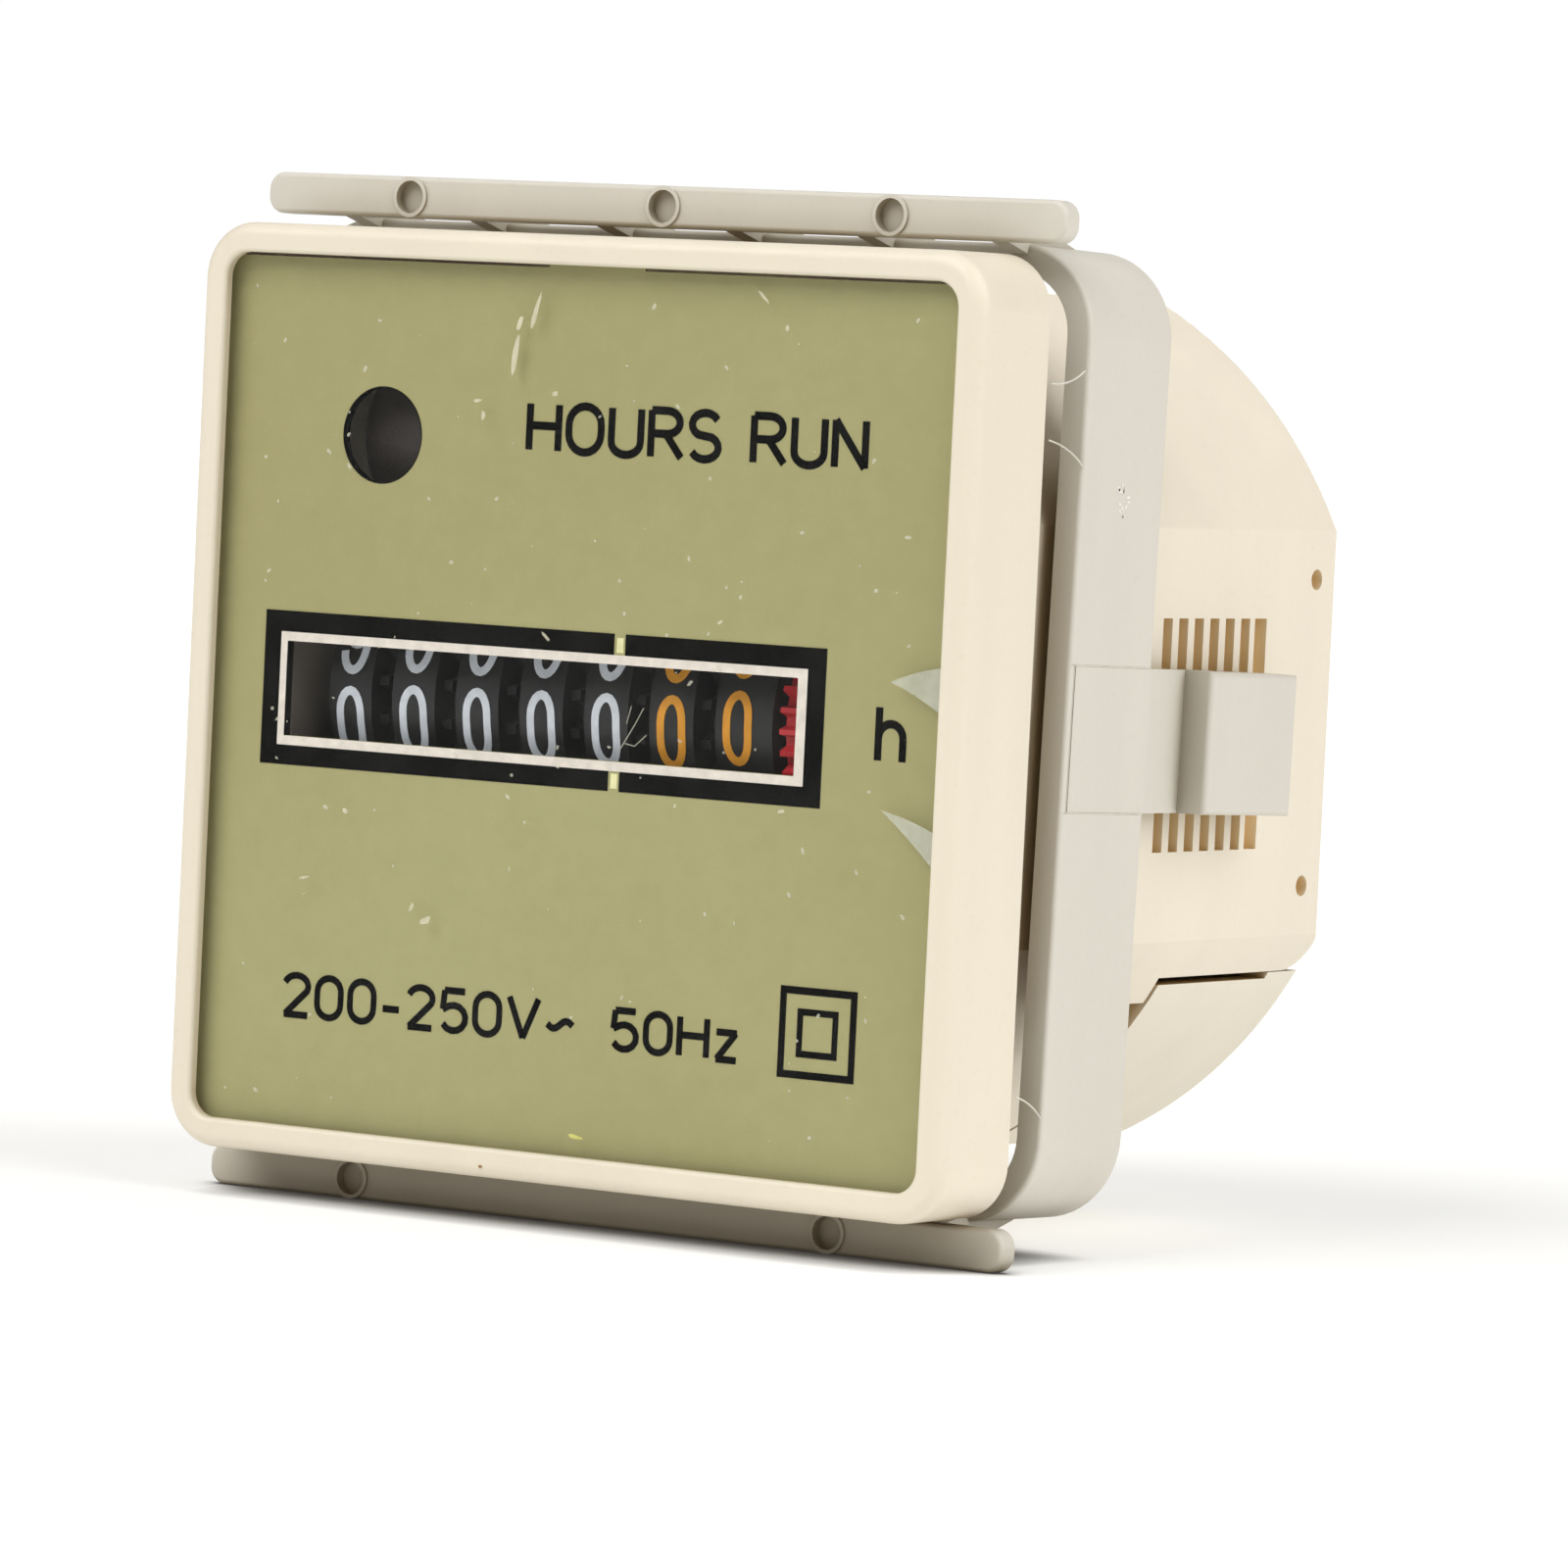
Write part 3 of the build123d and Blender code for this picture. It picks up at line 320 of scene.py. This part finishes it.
def ribbon(points, width, closed=False):
    """Left and right edges of a stroke of that width along a flat polyline, with mitred corners."""
    count = len(points)
    left, right = [], []
    for i, (x, z) in enumerate(points):
        before = points[i - 1] if closed or i else None
        after = points[(i + 1) % count] if closed or i < count - 1 else None
        ways = []
        for a, b in ((before, (x, z)), ((x, z), after)):
            if a is not None and b is not None:
                dx, dz = b[0] - a[0], b[1] - a[1]
                size = math.hypot(dx, dz)
                ways.append((dx / size, dz / size))
        nx = -sum(w[1] for w in ways)
        nz = sum(w[0] for w in ways)
        size = math.hypot(nx, nz)
        nx, nz = nx / size, nz / size
        lean = max(0.5, nx * -ways[0][1] + nz * ways[0][0])
        reach = width / 2 / lean
        left.append((x + nx * reach, z + nz * reach))
        right.append((x - nx * reach, z - nz * reach))
    return left, right


def stroke_mesh(strokes, width, place):
    """Closed flat bars along strokes. place(x, z, layer) gives a point, layer 0 behind and 1 in front."""
    vertices, faces = [], []
    for points, closed in strokes:
        left, right = ribbon(points, width, closed)
        count, first = len(points), len(vertices)
        for i in range(count):
            for layer in (0, 1):
                vertices.append(place(*left[i], layer))
                vertices.append(place(*right[i], layer))
        def at(i, k):
            return first + 4 * (i % count) + k
        for i in range(count if closed else count - 1):
            j = i + 1
            faces.append((at(i, 2), at(i, 3), at(j, 3), at(j, 2)))
            faces.append((at(i, 1), at(i, 0), at(j, 0), at(j, 1)))
            faces.append((at(i, 0), at(i, 2), at(j, 2), at(j, 0)))
            faces.append((at(i, 3), at(i, 1), at(j, 1), at(j, 3)))
        if not closed:
            last = count - 1
            faces.append((at(0, 0), at(0, 1), at(0, 3), at(0, 2)))
            faces.append((at(last, 2), at(last, 3), at(last, 1), at(last, 0)))
    return vertices, faces


def arc(cx, cz, rx, rz, start, end, steps=10):
    """Points along an ellipse between two angles in degrees."""
    turns = [math.radians(start + (end - start) * i / steps) for i in range(steps + 1)]
    return [(cx + rx * math.cos(t), cz + rz * math.sin(t)) for t in turns]


def track(w, h, bow):
    """A closed racetrack, w wide and h tall, with end arcs bow high."""
    return arc(w / 2, h - bow, w / 2, bow, 0, 180) + arc(w / 2, bow, w / 2, bow, 180, 360)


def shifted(points, dx, dz):
    return [(x + dx, z + dz) for x, z in points]


def flat(*points):
    """An open stroke with straight sides."""
    return (list(points), False)


def alphabet():
    """Width and strokes of each letter, one high. A stroke is its points and whether it is closed."""
    h, o, d = 0.56, 0.62, 0.50
    return {
        "H": (h, [flat((0, 0), (0, 1)), flat((h, 0), (h, 1)), flat((0, 0.53), (h, 0.53))]),
        "O": (o, [(track(o, 1.0, 0.40), True)]),
        "U": (h, [((arc(h / 2, 0.28, h / 2, 0.28, 180, 360)), False),
                  flat((0, 0.27), (0, 1)), flat((h, 0.27), (h, 1))]),
        "R": (h, [flat((0, 0), (0, 1)),
                  ([(0, 1.0)] + arc(0.30, 0.75, 0.24, 0.25, 90, -90) + [(0, 0.5)], False),
                  flat((0.28, 0.5), (h + 0.02, 0))]),
        "S": (0.52, [(arc(0.26, 0.745, 0.25, 0.255, 25, 240)
                      + arc(0.26, 0.255, 0.26, 0.255, 60, -155), False)]),
        "N": (h, [flat((0, 0), (0, 1)), flat((h, 0), (h, 1)), flat((0, 1), (h, 0))]),
        "h": (0.56, [flat((0, 0), (0, 1)),
                     (arc(0.28, 0.42, 0.28, 0.28, 180, 0), False),
                     flat((0.56, 0.42), (0.56, 0)), flat((0, 0.42), (0, 0.41))]),
        "z": (0.42, [flat((0, 0.70), (0.42, 0.70)), flat((0.40, 0.70), (0.02, 0)),
                     flat((0, 0), (0.42, 0))]),
        "V": (0.60, [flat((0, 1), (0.30, 0)), flat((0.60, 1), (0.30, 0))]),
        "-": (0.34, [flat((0.0, 0.38), (0.34, 0.38))]),
        "~": (0.52, [([(0.52 * t / 12, 0.42 - 0.10 * math.sin(2 * math.pi * t / 12))
                       for t in range(13)], False)]),
        " ": (0.26, []),
        "0": (d, [(track(d, 1.0, 0.34), True)]),
        "1": (d, [flat((d * 0.58, 0), (d * 0.58, 1)), flat((d * 0.58, 1), (d * 0.20, 0.78))]),
        "2": (d, [(arc(d / 2, 0.73, d / 2, 0.27, 165, -25) + [(0.02, 0)], False), flat((0, 0), (d, 0))]),
        "3": (d, [(arc(d / 2, 0.755, d / 2 - 0.02, 0.245, 150, -90), False),
                  (arc(d / 2, 0.255, d / 2, 0.255, 90, -150), False)]),
        "4": (d, [flat((d * 0.74, 0), (d * 0.74, 1)), flat((d * 0.74, 1), (0, 0.32)),
                  flat((0, 0.32), (d, 0.32))]),
        "5": (d, [flat((d * 0.94, 1), (d * 0.10, 1)), flat((d * 0.10, 1), (d * 0.04, 0.52)),
                  ([(d * 0.04, 0.52)] + arc(d / 2, 0.32, d / 2, 0.32, 115, -150), False)]),
        "6": (d, [(track(d, 0.60, 0.28), True), (arc(d / 2, 0.66, d / 2, 0.34, 180, 35), False),
                  flat((0, 0.68), (0, 0.30))]),
        "7": (d, [flat((0, 1), (d, 1)), ([(d, 1), (d * 0.55, 0.5), (d * 0.36, 0)], False)]),
        "8": (d, [(shifted(track(d - 0.04, 0.48, 0.23), 0.02, 0.52), True),
                  (track(d, 0.54, 0.25), True)]),
        "9": (d, [(shifted(track(d, 0.60, 0.28), 0, 0.40), True),
                  (arc(d / 2, 0.34, d / 2, 0.34, 0, -172), False), flat((d, 0.32), (d, 0.70))]),
    }


LETTERS = alphabet()
LETTER_GAP = 0.20


def write(text, low, high, left, right, weight):
    """Strokes of a line of text that fills a box with a pen as wide as weight."""
    height = high - low - weight
    natural = sum(LETTERS[c][0] for c in text) + LETTER_GAP * (len(text) - 1)
    wide = (right - left - weight) / natural
    strokes, x = [], left + weight / 2
    for c in text:
        width, parts = LETTERS[c]
        for points, closed in parts:
            placed = [(x + px * wide, low + weight / 2 + pz * height) for px, pz in points]
            strokes.append((placed, closed))
        x += (width + LETTER_GAP) * wide
    return strokes


# ---------------------------------------------------------------- dial print
DIAL_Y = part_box("dial_plate")[0].y / MM
DIAL_THICK = 0.5
FILM = 0.02             # thickness of every print and mark
BLACK = ink("black_ink", linear(5, 5, 5), 0.8, 0.0)
WHITE = ink("white_ink", linear(222, 214, 202))


def on_dial(x, z, layer):
    return (x, DIAL_Y - FILM * layer, z)


def prism(name, outlines, material, slot="dial", place=on_dial, body=ROOT):
    """Closed flat plates from outlines, each a loop of points counterclockwise as seen from in front."""
    vertices, faces = [], []
    for loop in outlines:
        first, count = len(vertices), len(loop)
        vertices += [place(x, z, 0) for x, z in loop]
        vertices += [place(x, z, 1) for x, z in loop]
        faces.append(tuple(first + count + i for i in range(count)))
        faces.append(tuple(first + i for i in reversed(range(count))))
        for i in range(count):
            j = (i + 1) % count
            faces.append((first + i, first + j, first + count + j, first + count + i))
    return piece(name, vertices, faces, material, body, slot)


BAND = dict(left=-19.7, right=15.1, low=-3.9, high=4.05)        # black border
LINE = dict(left=-18.66, right=14.02, low=-2.88, high=2.97)     # white line inside it
OPEN = dict(left=-18.25, right=13.45, low=-2.4, high=2.5)       # opening in the dial
POINT_GAP = (2.26, 2.94)    # where the decimal point would be
POINT_TICK = (2.42, 2.82)
TICK_TALL = 0.75
DOT_X, DOT_Z, DOT_R = -12.8, 13.37, 2.5
DOT_RIM = 0.04


def rectangle(a0, a1, b0, b1):
    return [(a0, b0), (a1, b0), (a1, b1), (a0, b1)]


def bracket(outer, inner, x_from, x_to):
    """Two bars of a frame between x_from and x_to, and its upright where the span reaches an end."""
    loops = []
    for low, high in ((outer["low"], inner["low"]), (inner["high"], outer["high"])):
        loops.append(rectangle(x_from, x_to, low, high))
    if x_from <= outer["left"]:
        loops.append(rectangle(outer["left"], inner["left"], inner["low"], inner["high"]))
    if x_to >= outer["right"]:
        loops.append(rectangle(inner["right"], outer["right"], inner["low"], inner["high"]))
    return loops


prism("counter_band", bracket(BAND, LINE, BAND["left"], POINT_GAP[0])
      + bracket(BAND, LINE, POINT_GAP[1], BAND["right"]), BLACK)
prism("counter_line", bracket(LINE, OPEN, LINE["left"], LINE["right"]), WHITE)


def through_dial(x, z, layer):
    """From the back of the dial to just proud of its front."""
    return (x, DIAL_Y + DIAL_THICK - (DIAL_THICK + FILM) * layer, z)


def on_left_edge(y, z, layer):
    return (OPEN["left"] + FILM * layer, y, z)


dot_radius = DOT_R - DOT_RIM / 2
dot_circle = arc(DOT_X, DOT_Z, dot_radius, dot_radius, 0, 351, 39)
piece("dot_edge", *stroke_mesh([(dot_circle, True)], DOT_RIM, through_dial), BLACK)
prism("point_ticks", [rectangle(*POINT_TICK, z, z + TICK_TALL) for z in (-3.75, 3.1)],
      ink("tick_paint", linear(228, 224, 170)))
prism("opening_edge", [rectangle(DIAL_Y, DIAL_Y + DIAL_THICK, OPEN["low"], OPEN["high"])],
      BLACK, place=on_left_edge)


def dial_text(name, text, low, high, left, right, weight):
    strokes = write(text, low, high, left, right, weight)
    piece(name, *stroke_mesh(strokes, weight, on_dial), BLACK)


dial_text("title_print", "HOURS RUN", 12.85, 15.6, -3.8, 16.97, 0.42)
dial_text("unit_print", "h", -1.49, 1.56, 18.15, 20.02, 0.42)
dial_text("rating_print", "200-250V~", -16.95, -14.55, -17.6, 0.98, 0.36)
dial_text("frequency_print", "50Hz", -17.0, -14.7, 3.08, 11.0, 0.36)
cx, cz = 15.6, -15.1
for i, (half, pen) in enumerate(((2.1, 0.38), (1.05, 0.34))):
    square = rectangle(cx - half, cx + half, cz - half, cz + half)
    piece(f"class_print_{i + 1}", *stroke_mesh([(square, True)], pen, on_dial), BLACK)

# ---------------------------------------------------------------- number wheels
AXIS_Y, WHEEL_R = 4.4, 7.1
WHEEL_X = [-15.79, -11.76, -7.73, -3.70, 0.33, 4.36, 8.39]
PHASE = [-13.2, -10.9, -10.0, -9.0, -8.1, -6.9, -3.0]   # degrees of each 0 above the level of the axis
DIGIT_STEP = 36.0
DIGIT_TALL, DIGIT_WIDE, DIGIT_PEN = 3.85, 1.75, 0.45
DIGIT_LIFT = 0.03       # a digit reaches this far in and out from the wheel's face
BEND = 0.4              # tallest straight run of a digit's stroke on the round wheel
WHOLE_HOURS = 5         # wheels with pale digits; the rest are orange
PALE = ink("pale_digit_ink", linear(226, 232, 240))
ORANGE = ink("orange_digit_ink", linear(236, 162, 44))


def divided(points, closed):
    """The same stroke with no run taller than BEND."""
    dense = []
    for (ax, az), (bx, bz) in zip(points, points[1:] + (points[:1] if closed else [])):
        steps = max(1, math.ceil(abs(bz - az) / BEND))
        dense += [(ax + (bx - ax) * i / steps, az + (bz - az) * i / steps) for i in range(steps)]
    return (dense if closed else dense + [points[-1]], closed)


def wheel_digits(wheel_x, phase):
    """Vertices and faces of the digits 0 to 9 wrapped round one wheel."""
    vertices, faces = [], []
    tall, wide = DIGIT_TALL / 2, DIGIT_WIDE / 2
    for digit in range(10):
        centre = math.radians(phase - DIGIT_STEP * digit)

        def on_wheel(x, z, layer):
            angle = centre + z / WHEEL_R
            r = WHEEL_R + DIGIT_LIFT * (2 * layer - 1)
            return (wheel_x + x, AXIS_Y - r * math.cos(angle), r * math.sin(angle))

        strokes = [divided(*stroke) for stroke in write(str(digit), -tall, tall, -wide, wide, DIGIT_PEN)]
        v, f = stroke_mesh(strokes, DIGIT_PEN, on_wheel)
        faces += [tuple(i + len(vertices) for i in face) for face in f]
        vertices += v
    return vertices, faces


for k, (wheel_x, phase) in enumerate(zip(WHEEL_X, PHASE), 1):
    piece(f"digits_{k}", *wheel_digits(wheel_x, phase), PALE if k <= WHOLE_HOURS else ORANGE,
          f"drum_{k}", "drum")

# ---------------------------------------------------------------- wear on the window and the mouldings, and a painted shadow under the top lip
WINDOW_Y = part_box("dial_window")[0].y / MM
BEZEL_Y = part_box("front_bezel")[0].y / MM
DUST = haze("dust", linear(230, 224, 196), 0.55)
FAINT = haze("faint_dust", linear(226, 224, 204), 0.35)
draw = random.Random(4)


def on_window(x, z, layer):
    return (x, WINDOW_Y - FILM * layer, z)


def on_bezel(x, z, layer):
    return (x, BEZEL_Y - FILM * layer, z)


def fleck(x, z, long, wide, angle):
    """An uneven rounded speck, turned by an angle in degrees."""
    cos, sin, corners = math.cos(math.radians(angle)), math.sin(math.radians(angle)), 9
    loop = []
    for i in range(corners):
        t = 2 * math.pi * i / corners
        u, v = long / 2 * math.cos(t), wide / 2 * math.sin(t)
        grow = draw.uniform(0.75, 1.2)
        loop.append((x + grow * (u * cos - v * sin), z + grow * (u * sin + v * cos)))
    return loop


# x, z, length, width and lean in degrees of the larger marks
STREAKS = [(-4.30, 17.8, 2.4, 0.34, 82), (-4.1, 19.4, 0.9, 0.28, 70), (-3.1, 20.1, 1.8, 0.3, 74),
           (10.7, 21.3, 0.9, 0.18, -45), (12.2, 19.8, 0.3, 0.2, 80),
           (-6.1, 14.66, 0.5, 0.28, 80), (-6.5, 15.4, 0.5, 0.2, 10), (-1.7, 15.95, 0.34, 0.3, 0),
           (-8.2, -11.2, 0.75, 0.35, 25), (-9.15, -10.6, 0.5, 0.2, 60), (-13.65, -6.0, 0.35, 0.3, 0),
           (9.02, 5.0, 0.34, 0.2, 40), (13.2, -4.15, 0.4, 0.2, 15), (-1.6, 3.7, 0.7, 0.16, -40),
           (-16.1, -9.6, 0.7, 0.16, 10)]
prism("window_streaks", [fleck(*row) for row in STREAKS], DUST, "window", on_window)
SPECK_COUNT, SPECK_FIELD = 110, 21.0
specks = []
for _ in range(SPECK_COUNT):
    x, z = draw.uniform(-SPECK_FIELD, SPECK_FIELD), draw.uniform(-SPECK_FIELD, SPECK_FIELD)
    wide = draw.uniform(0.06, 0.2)
    specks.append(fleck(x, z, wide * draw.uniform(1, 2.2), wide, draw.uniform(0, 180)))
prism("window_specks", specks, FAINT, "window", on_window)

SCRATCHES = [flat((4.65, 0.45), (4.2, -0.35), (3.3, -1.75)), flat((3.9, 0.5), (3.65, -0.4)),
             flat((4.9, -0.9), (4.2, -1.5), (3.6, -1.4))]
SCRATCH_PEN = 0.05
piece("window_scratches", *stroke_mesh(SCRATCHES, SCRATCH_PEN, on_window), FAINT, slot="window")


def lifted(tip, low, high, bend):
    """A triangle with slightly bowed sides, from a tip to an upright edge at the rim of the window."""
    loop = []
    for start, end in ((tip, low), (high, tip)):
        middle = ((start[0] + end[0]) / 2, (start[1] + end[1]) / 2 + bend)
        for i in range(8):
            t = i / 8
            loop.append(tuple((1 - t) ** 2 * a + 2 * t * (1 - t) * m + t * t * b
                              for a, m, b in zip(start, middle, end)))
        loop.append(end)
    return loop[:-1]


prism("film_marks", [lifted((19.3, 2.65), (22.2, 1.3), (22.2, 3.5), 0.2),
                     lifted((19.1, -3.7), (22.2, -6.3), (22.2, -4.6), 0.2)],
      haze("lifted_film", linear(214, 216, 200), 0.4, 0.3), "window", on_window)
# Painted shadow: a thin dark brown strip on the window just under the top lip, where the lip shades it.
prism("lip_shadow_line", [rectangle(x0, x1, 22.3, 22.44) for x0, x1 in ((-21.6, -2.4), (3.5, 21.7))],
      haze("painted_lip_shadow", linear(58, 34, 20), 0.85), "window", on_window)
prism("gate_mark", [fleck(-3.66, -23.4, 0.24, 0.2, 0)], ink("gate_shadow", linear(150, 118, 80)),
      "bezel", on_bezel)
prism("print_tick", [fleck(1.3, -21.5, 0.95, 0.22, -8)], ink("tick_ink", linear(214, 212, 120)))

# ---------------------------------------------------------------- the clamp frame
SIDE_X = 24.5
RING_MIDDLE_Y, LEAN = 6.575, math.radians(1.4)      # the loose frame leans, as in the CAD
THREAD_R = 0.05
THREAD = haze("flash_thread", linear(232, 228, 216), 0.8)
THREADS = [[(24.15, 0.15, 17.7), (24.6, 1.2, 17.6), (24.5, 2.7, 18.4)],
           [(24.15, 0.2, 14.9), (24.7, 1.4, 14.6), (24.5, 3.0, 13.6)],
           [(24.15, 0.2, -17.7), (24.6, 1.0, -18.0), (24.5, 2.0, -18.8)]]
WEB = ink("web_plastic", linear(222, 217, 204))
WEB_BACK, WEB_THICK = 0.3, 0.28     # how far under the side face a web starts, and its thickness
# Strips over the seams round a tongue: y and z ranges of the two long ones and the one at the tip
WEB_STRIPS = [(3.1, 10.4, 3.66, 3.72), (3.1, 10.4, -3.72, -3.66), (3.1, 3.13, -3.66, 3.66)]


def thread(name, points):
    """A fine hair of flash along a smooth line."""
    curve = bpy.data.curves.new(name, "CURVE")
    curve.dimensions = "3D"
    curve.bevel_depth, curve.bevel_resolution, curve.use_fill_caps = THREAD_R * MM, 2, True
    line = curve.splines.new("NURBS")
    line.points.add(len(points) - 1)
    for point, place in zip(line.points, points):
        point.co = (*(c * MM for c in place), 1)
    line.order_u, line.use_endpoint_u = 3, True
    curve.materials.append(THREAD)
    obj = bpy.data.objects.new(name, curve)
    bpy.context.scene.collection.objects.link(obj)
    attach(obj, "clamp_frame")


def leaned(x, y, z):
    """A point that leans with the clamp frame."""
    dy, cos, sin = y - RING_MIDDLE_Y, math.cos(LEAN), math.sin(LEAN)
    return (x, RING_MIDDLE_Y + dy * cos + z * sin, z * cos - dy * sin)


def on_side(y, z, layer):
    return (SIDE_X + FILM * layer, y, z)


def on_right_seams(y, z, layer):
    return leaned(SIDE_X - WEB_BACK + WEB_THICK * layer, y, z)


def on_left_seams(y, z, layer):
    return leaned(-(SIDE_X - WEB_BACK + WEB_THICK * layer), y, z)


for i, points in enumerate(THREADS, 1):
    thread(f"flash_thread_{i}", points)
web_outlines = [rectangle(*strip) for strip in WEB_STRIPS]
prism("webs_right", web_outlines, WEB, "clamp", on_right_seams, "clamp_frame")
prism("webs_left", web_outlines, WEB, "clamp", on_left_seams, "clamp_frame")
RUB_COUNT, RUB_Y, RUB_Z, RUB_WIDE = 16, 6.9, 12.0, 0.14
marks = []
for _ in range(RUB_COUNT):
    marks.append(fleck(RUB_Y + draw.uniform(-0.6, 0.6), RUB_Z + draw.uniform(-0.8, 0.8),
                       draw.uniform(0.15, 0.4), RUB_WIDE, draw.uniform(0, 180)))
prism("ejector_mark", marks, ink("rubbed_plastic", linear(236, 233, 226)), "clamp", on_side, "clamp_frame")

# ---------------------------------------------------------------- studio
FLOOR_HALF = 6.0                    # metres
FILL_LEVEL, FILL_TOP = 0.04, 0.45   # strength of the fill light at the horizon and overhead
BACKDROP = 1.02


def paper_floor():
    """White paper that glows a little in the open; close under the object its colour and glow are turned
    down, a painted contact shadow.
    """
    s = Shader("paper_floor")
    paper = s.ramp(s.noise(3.0), (0.3, (0.68, 0.68, 0.67, 1)), (0.7, (0.70, 0.70, 0.69, 1)))
    sky = s.open_sky(CONTACT, 16)
    shade = s.ramp(sky, (0.35, (0.22, 0.20, 0.18, 1)), (0.92, CLEAN))
    s.colour(s.mix(1.0, paper, shade, "MULTIPLY"))
    s.set(Roughness=0.9, Specular_IOR_Level=0.0, Emission_Color=(1, 1, 0.99, 1))
    s.links.new(s.span(sky, 0.04, 0.37, (0.4, 0.92)), s.principled.inputs["Emission Strength"])
    return s.material


def paper_sheet():
    """The floor, level with the lowest point of the part."""
    mesh = bpy.data.meshes.new("floor")
    corners = rectangle(-FLOOR_HALF, FLOOR_HALF, -FLOOR_HALF, FLOOR_HALF)
    mesh.from_pydata([(x, y, cad_box[0].z) for x, y in corners], [], [(0, 1, 2, 3)])
    mesh.materials.append(paper_floor())
    floor = bpy.data.objects.new("floor", mesh)
    bpy.context.scene.collection.objects.link(floor)


def lamp(name, azimuth, elevation, spread, strength):
    """A broad soft light far off; azimuth 0 is straight in front and 90 on the right."""
    data = bpy.data.lights.new(name, "SUN")
    data.energy, data.angle = strength, math.radians(spread)
    obj = bpy.data.objects.new(name, data)
    a, e = math.radians(azimuth), math.radians(elevation)
    towards = Vector((math.sin(a) * math.cos(e), -math.cos(a) * math.cos(e), math.sin(e)))
    obj.rotation_euler = towards.to_track_quat("Z", "Y").to_euler()
    bpy.context.scene.collection.objects.link(obj)


def studio_world():
    """Fill light that grows towards the top, and an even white backdrop seen only by the camera."""
    world = bpy.data.worlds.new("studio")
    bpy.context.scene.world = world
    world.use_nodes = True
    nodes, links = world.node_tree.nodes, world.node_tree.links
    fill = nodes["Background"]
    fill.inputs["Color"].default_value = (1.0, 0.99, 0.97, 1)
    way = nodes.new("ShaderNodeSeparateXYZ")
    height = nodes.new("ShaderNodeMapRange")
    height.inputs["To Min"].default_value = FILL_LEVEL
    height.inputs["To Max"].default_value = FILL_TOP
    links.new(nodes.new("ShaderNodeTexCoord").outputs["Generated"], way.inputs[0])
    links.new(way.outputs["Z"], height.inputs["Value"])
    links.new(height.outputs["Result"], fill.inputs["Strength"])
    backdrop = nodes.new("ShaderNodeBackground")
    backdrop.inputs["Color"].default_value = CLEAN
    backdrop.inputs["Strength"].default_value = BACKDROP
    choose = nodes.new("ShaderNodeMixShader")
    links.new(nodes.new("ShaderNodeLightPath").outputs["Is Camera Ray"], choose.inputs[0])
    links.new(fill.outputs[0], choose.inputs[1])
    links.new(backdrop.outputs[0], choose.inputs[2])
    links.new(choose.outputs[0], nodes["World Output"].inputs["Surface"])


paper_sheet()
lamp("front_left", -22.0, 44.0, 45.0, 1.95)
lamp("right", 96.0, 36.0, 60.0, 1.85)
studio_world()
bpy.context.scene.view_settings.view_transform = "Standard"

# ---------------------------------------------------------------- camera
IMAGE_WIDTH = 1600
SENSOR = 36.0
AZIMUTH, ELEVATION, ROLL = (math.radians(a) for a in (33.559, 2.83, 2.783))
DISTANCE, FOCAL_PIXELS = 439.034 * MM, 8885.749
AIM = Vector((9.586 * MM, 0.0, -3.114 * MM))
back = Vector((math.sin(AZIMUTH) * math.cos(ELEVATION), -math.cos(AZIMUTH) * math.cos(ELEVATION),
               math.sin(ELEVATION)))
right = (-back).cross(Vector((0, 0, 1))).normalized()
up = right.cross(-back)
right_rolled = right * math.cos(ROLL) + up * math.sin(ROLL)
up_rolled = up * math.cos(ROLL) - right * math.sin(ROLL)
camera = bpy.data.objects.new("camera", bpy.data.cameras.new("camera"))
bpy.context.scene.collection.objects.link(camera)
camera.data.sensor_width = SENSOR
camera.data.lens = SENSOR * FOCAL_PIXELS / IMAGE_WIDTH
camera.data.clip_start = 0.01
turn = Matrix((right_rolled, up_rolled, back)).transposed().to_4x4()
camera.matrix_world = Matrix.Translation(AIM + back * DISTANCE) @ turn
bpy.context.scene.camera = camera
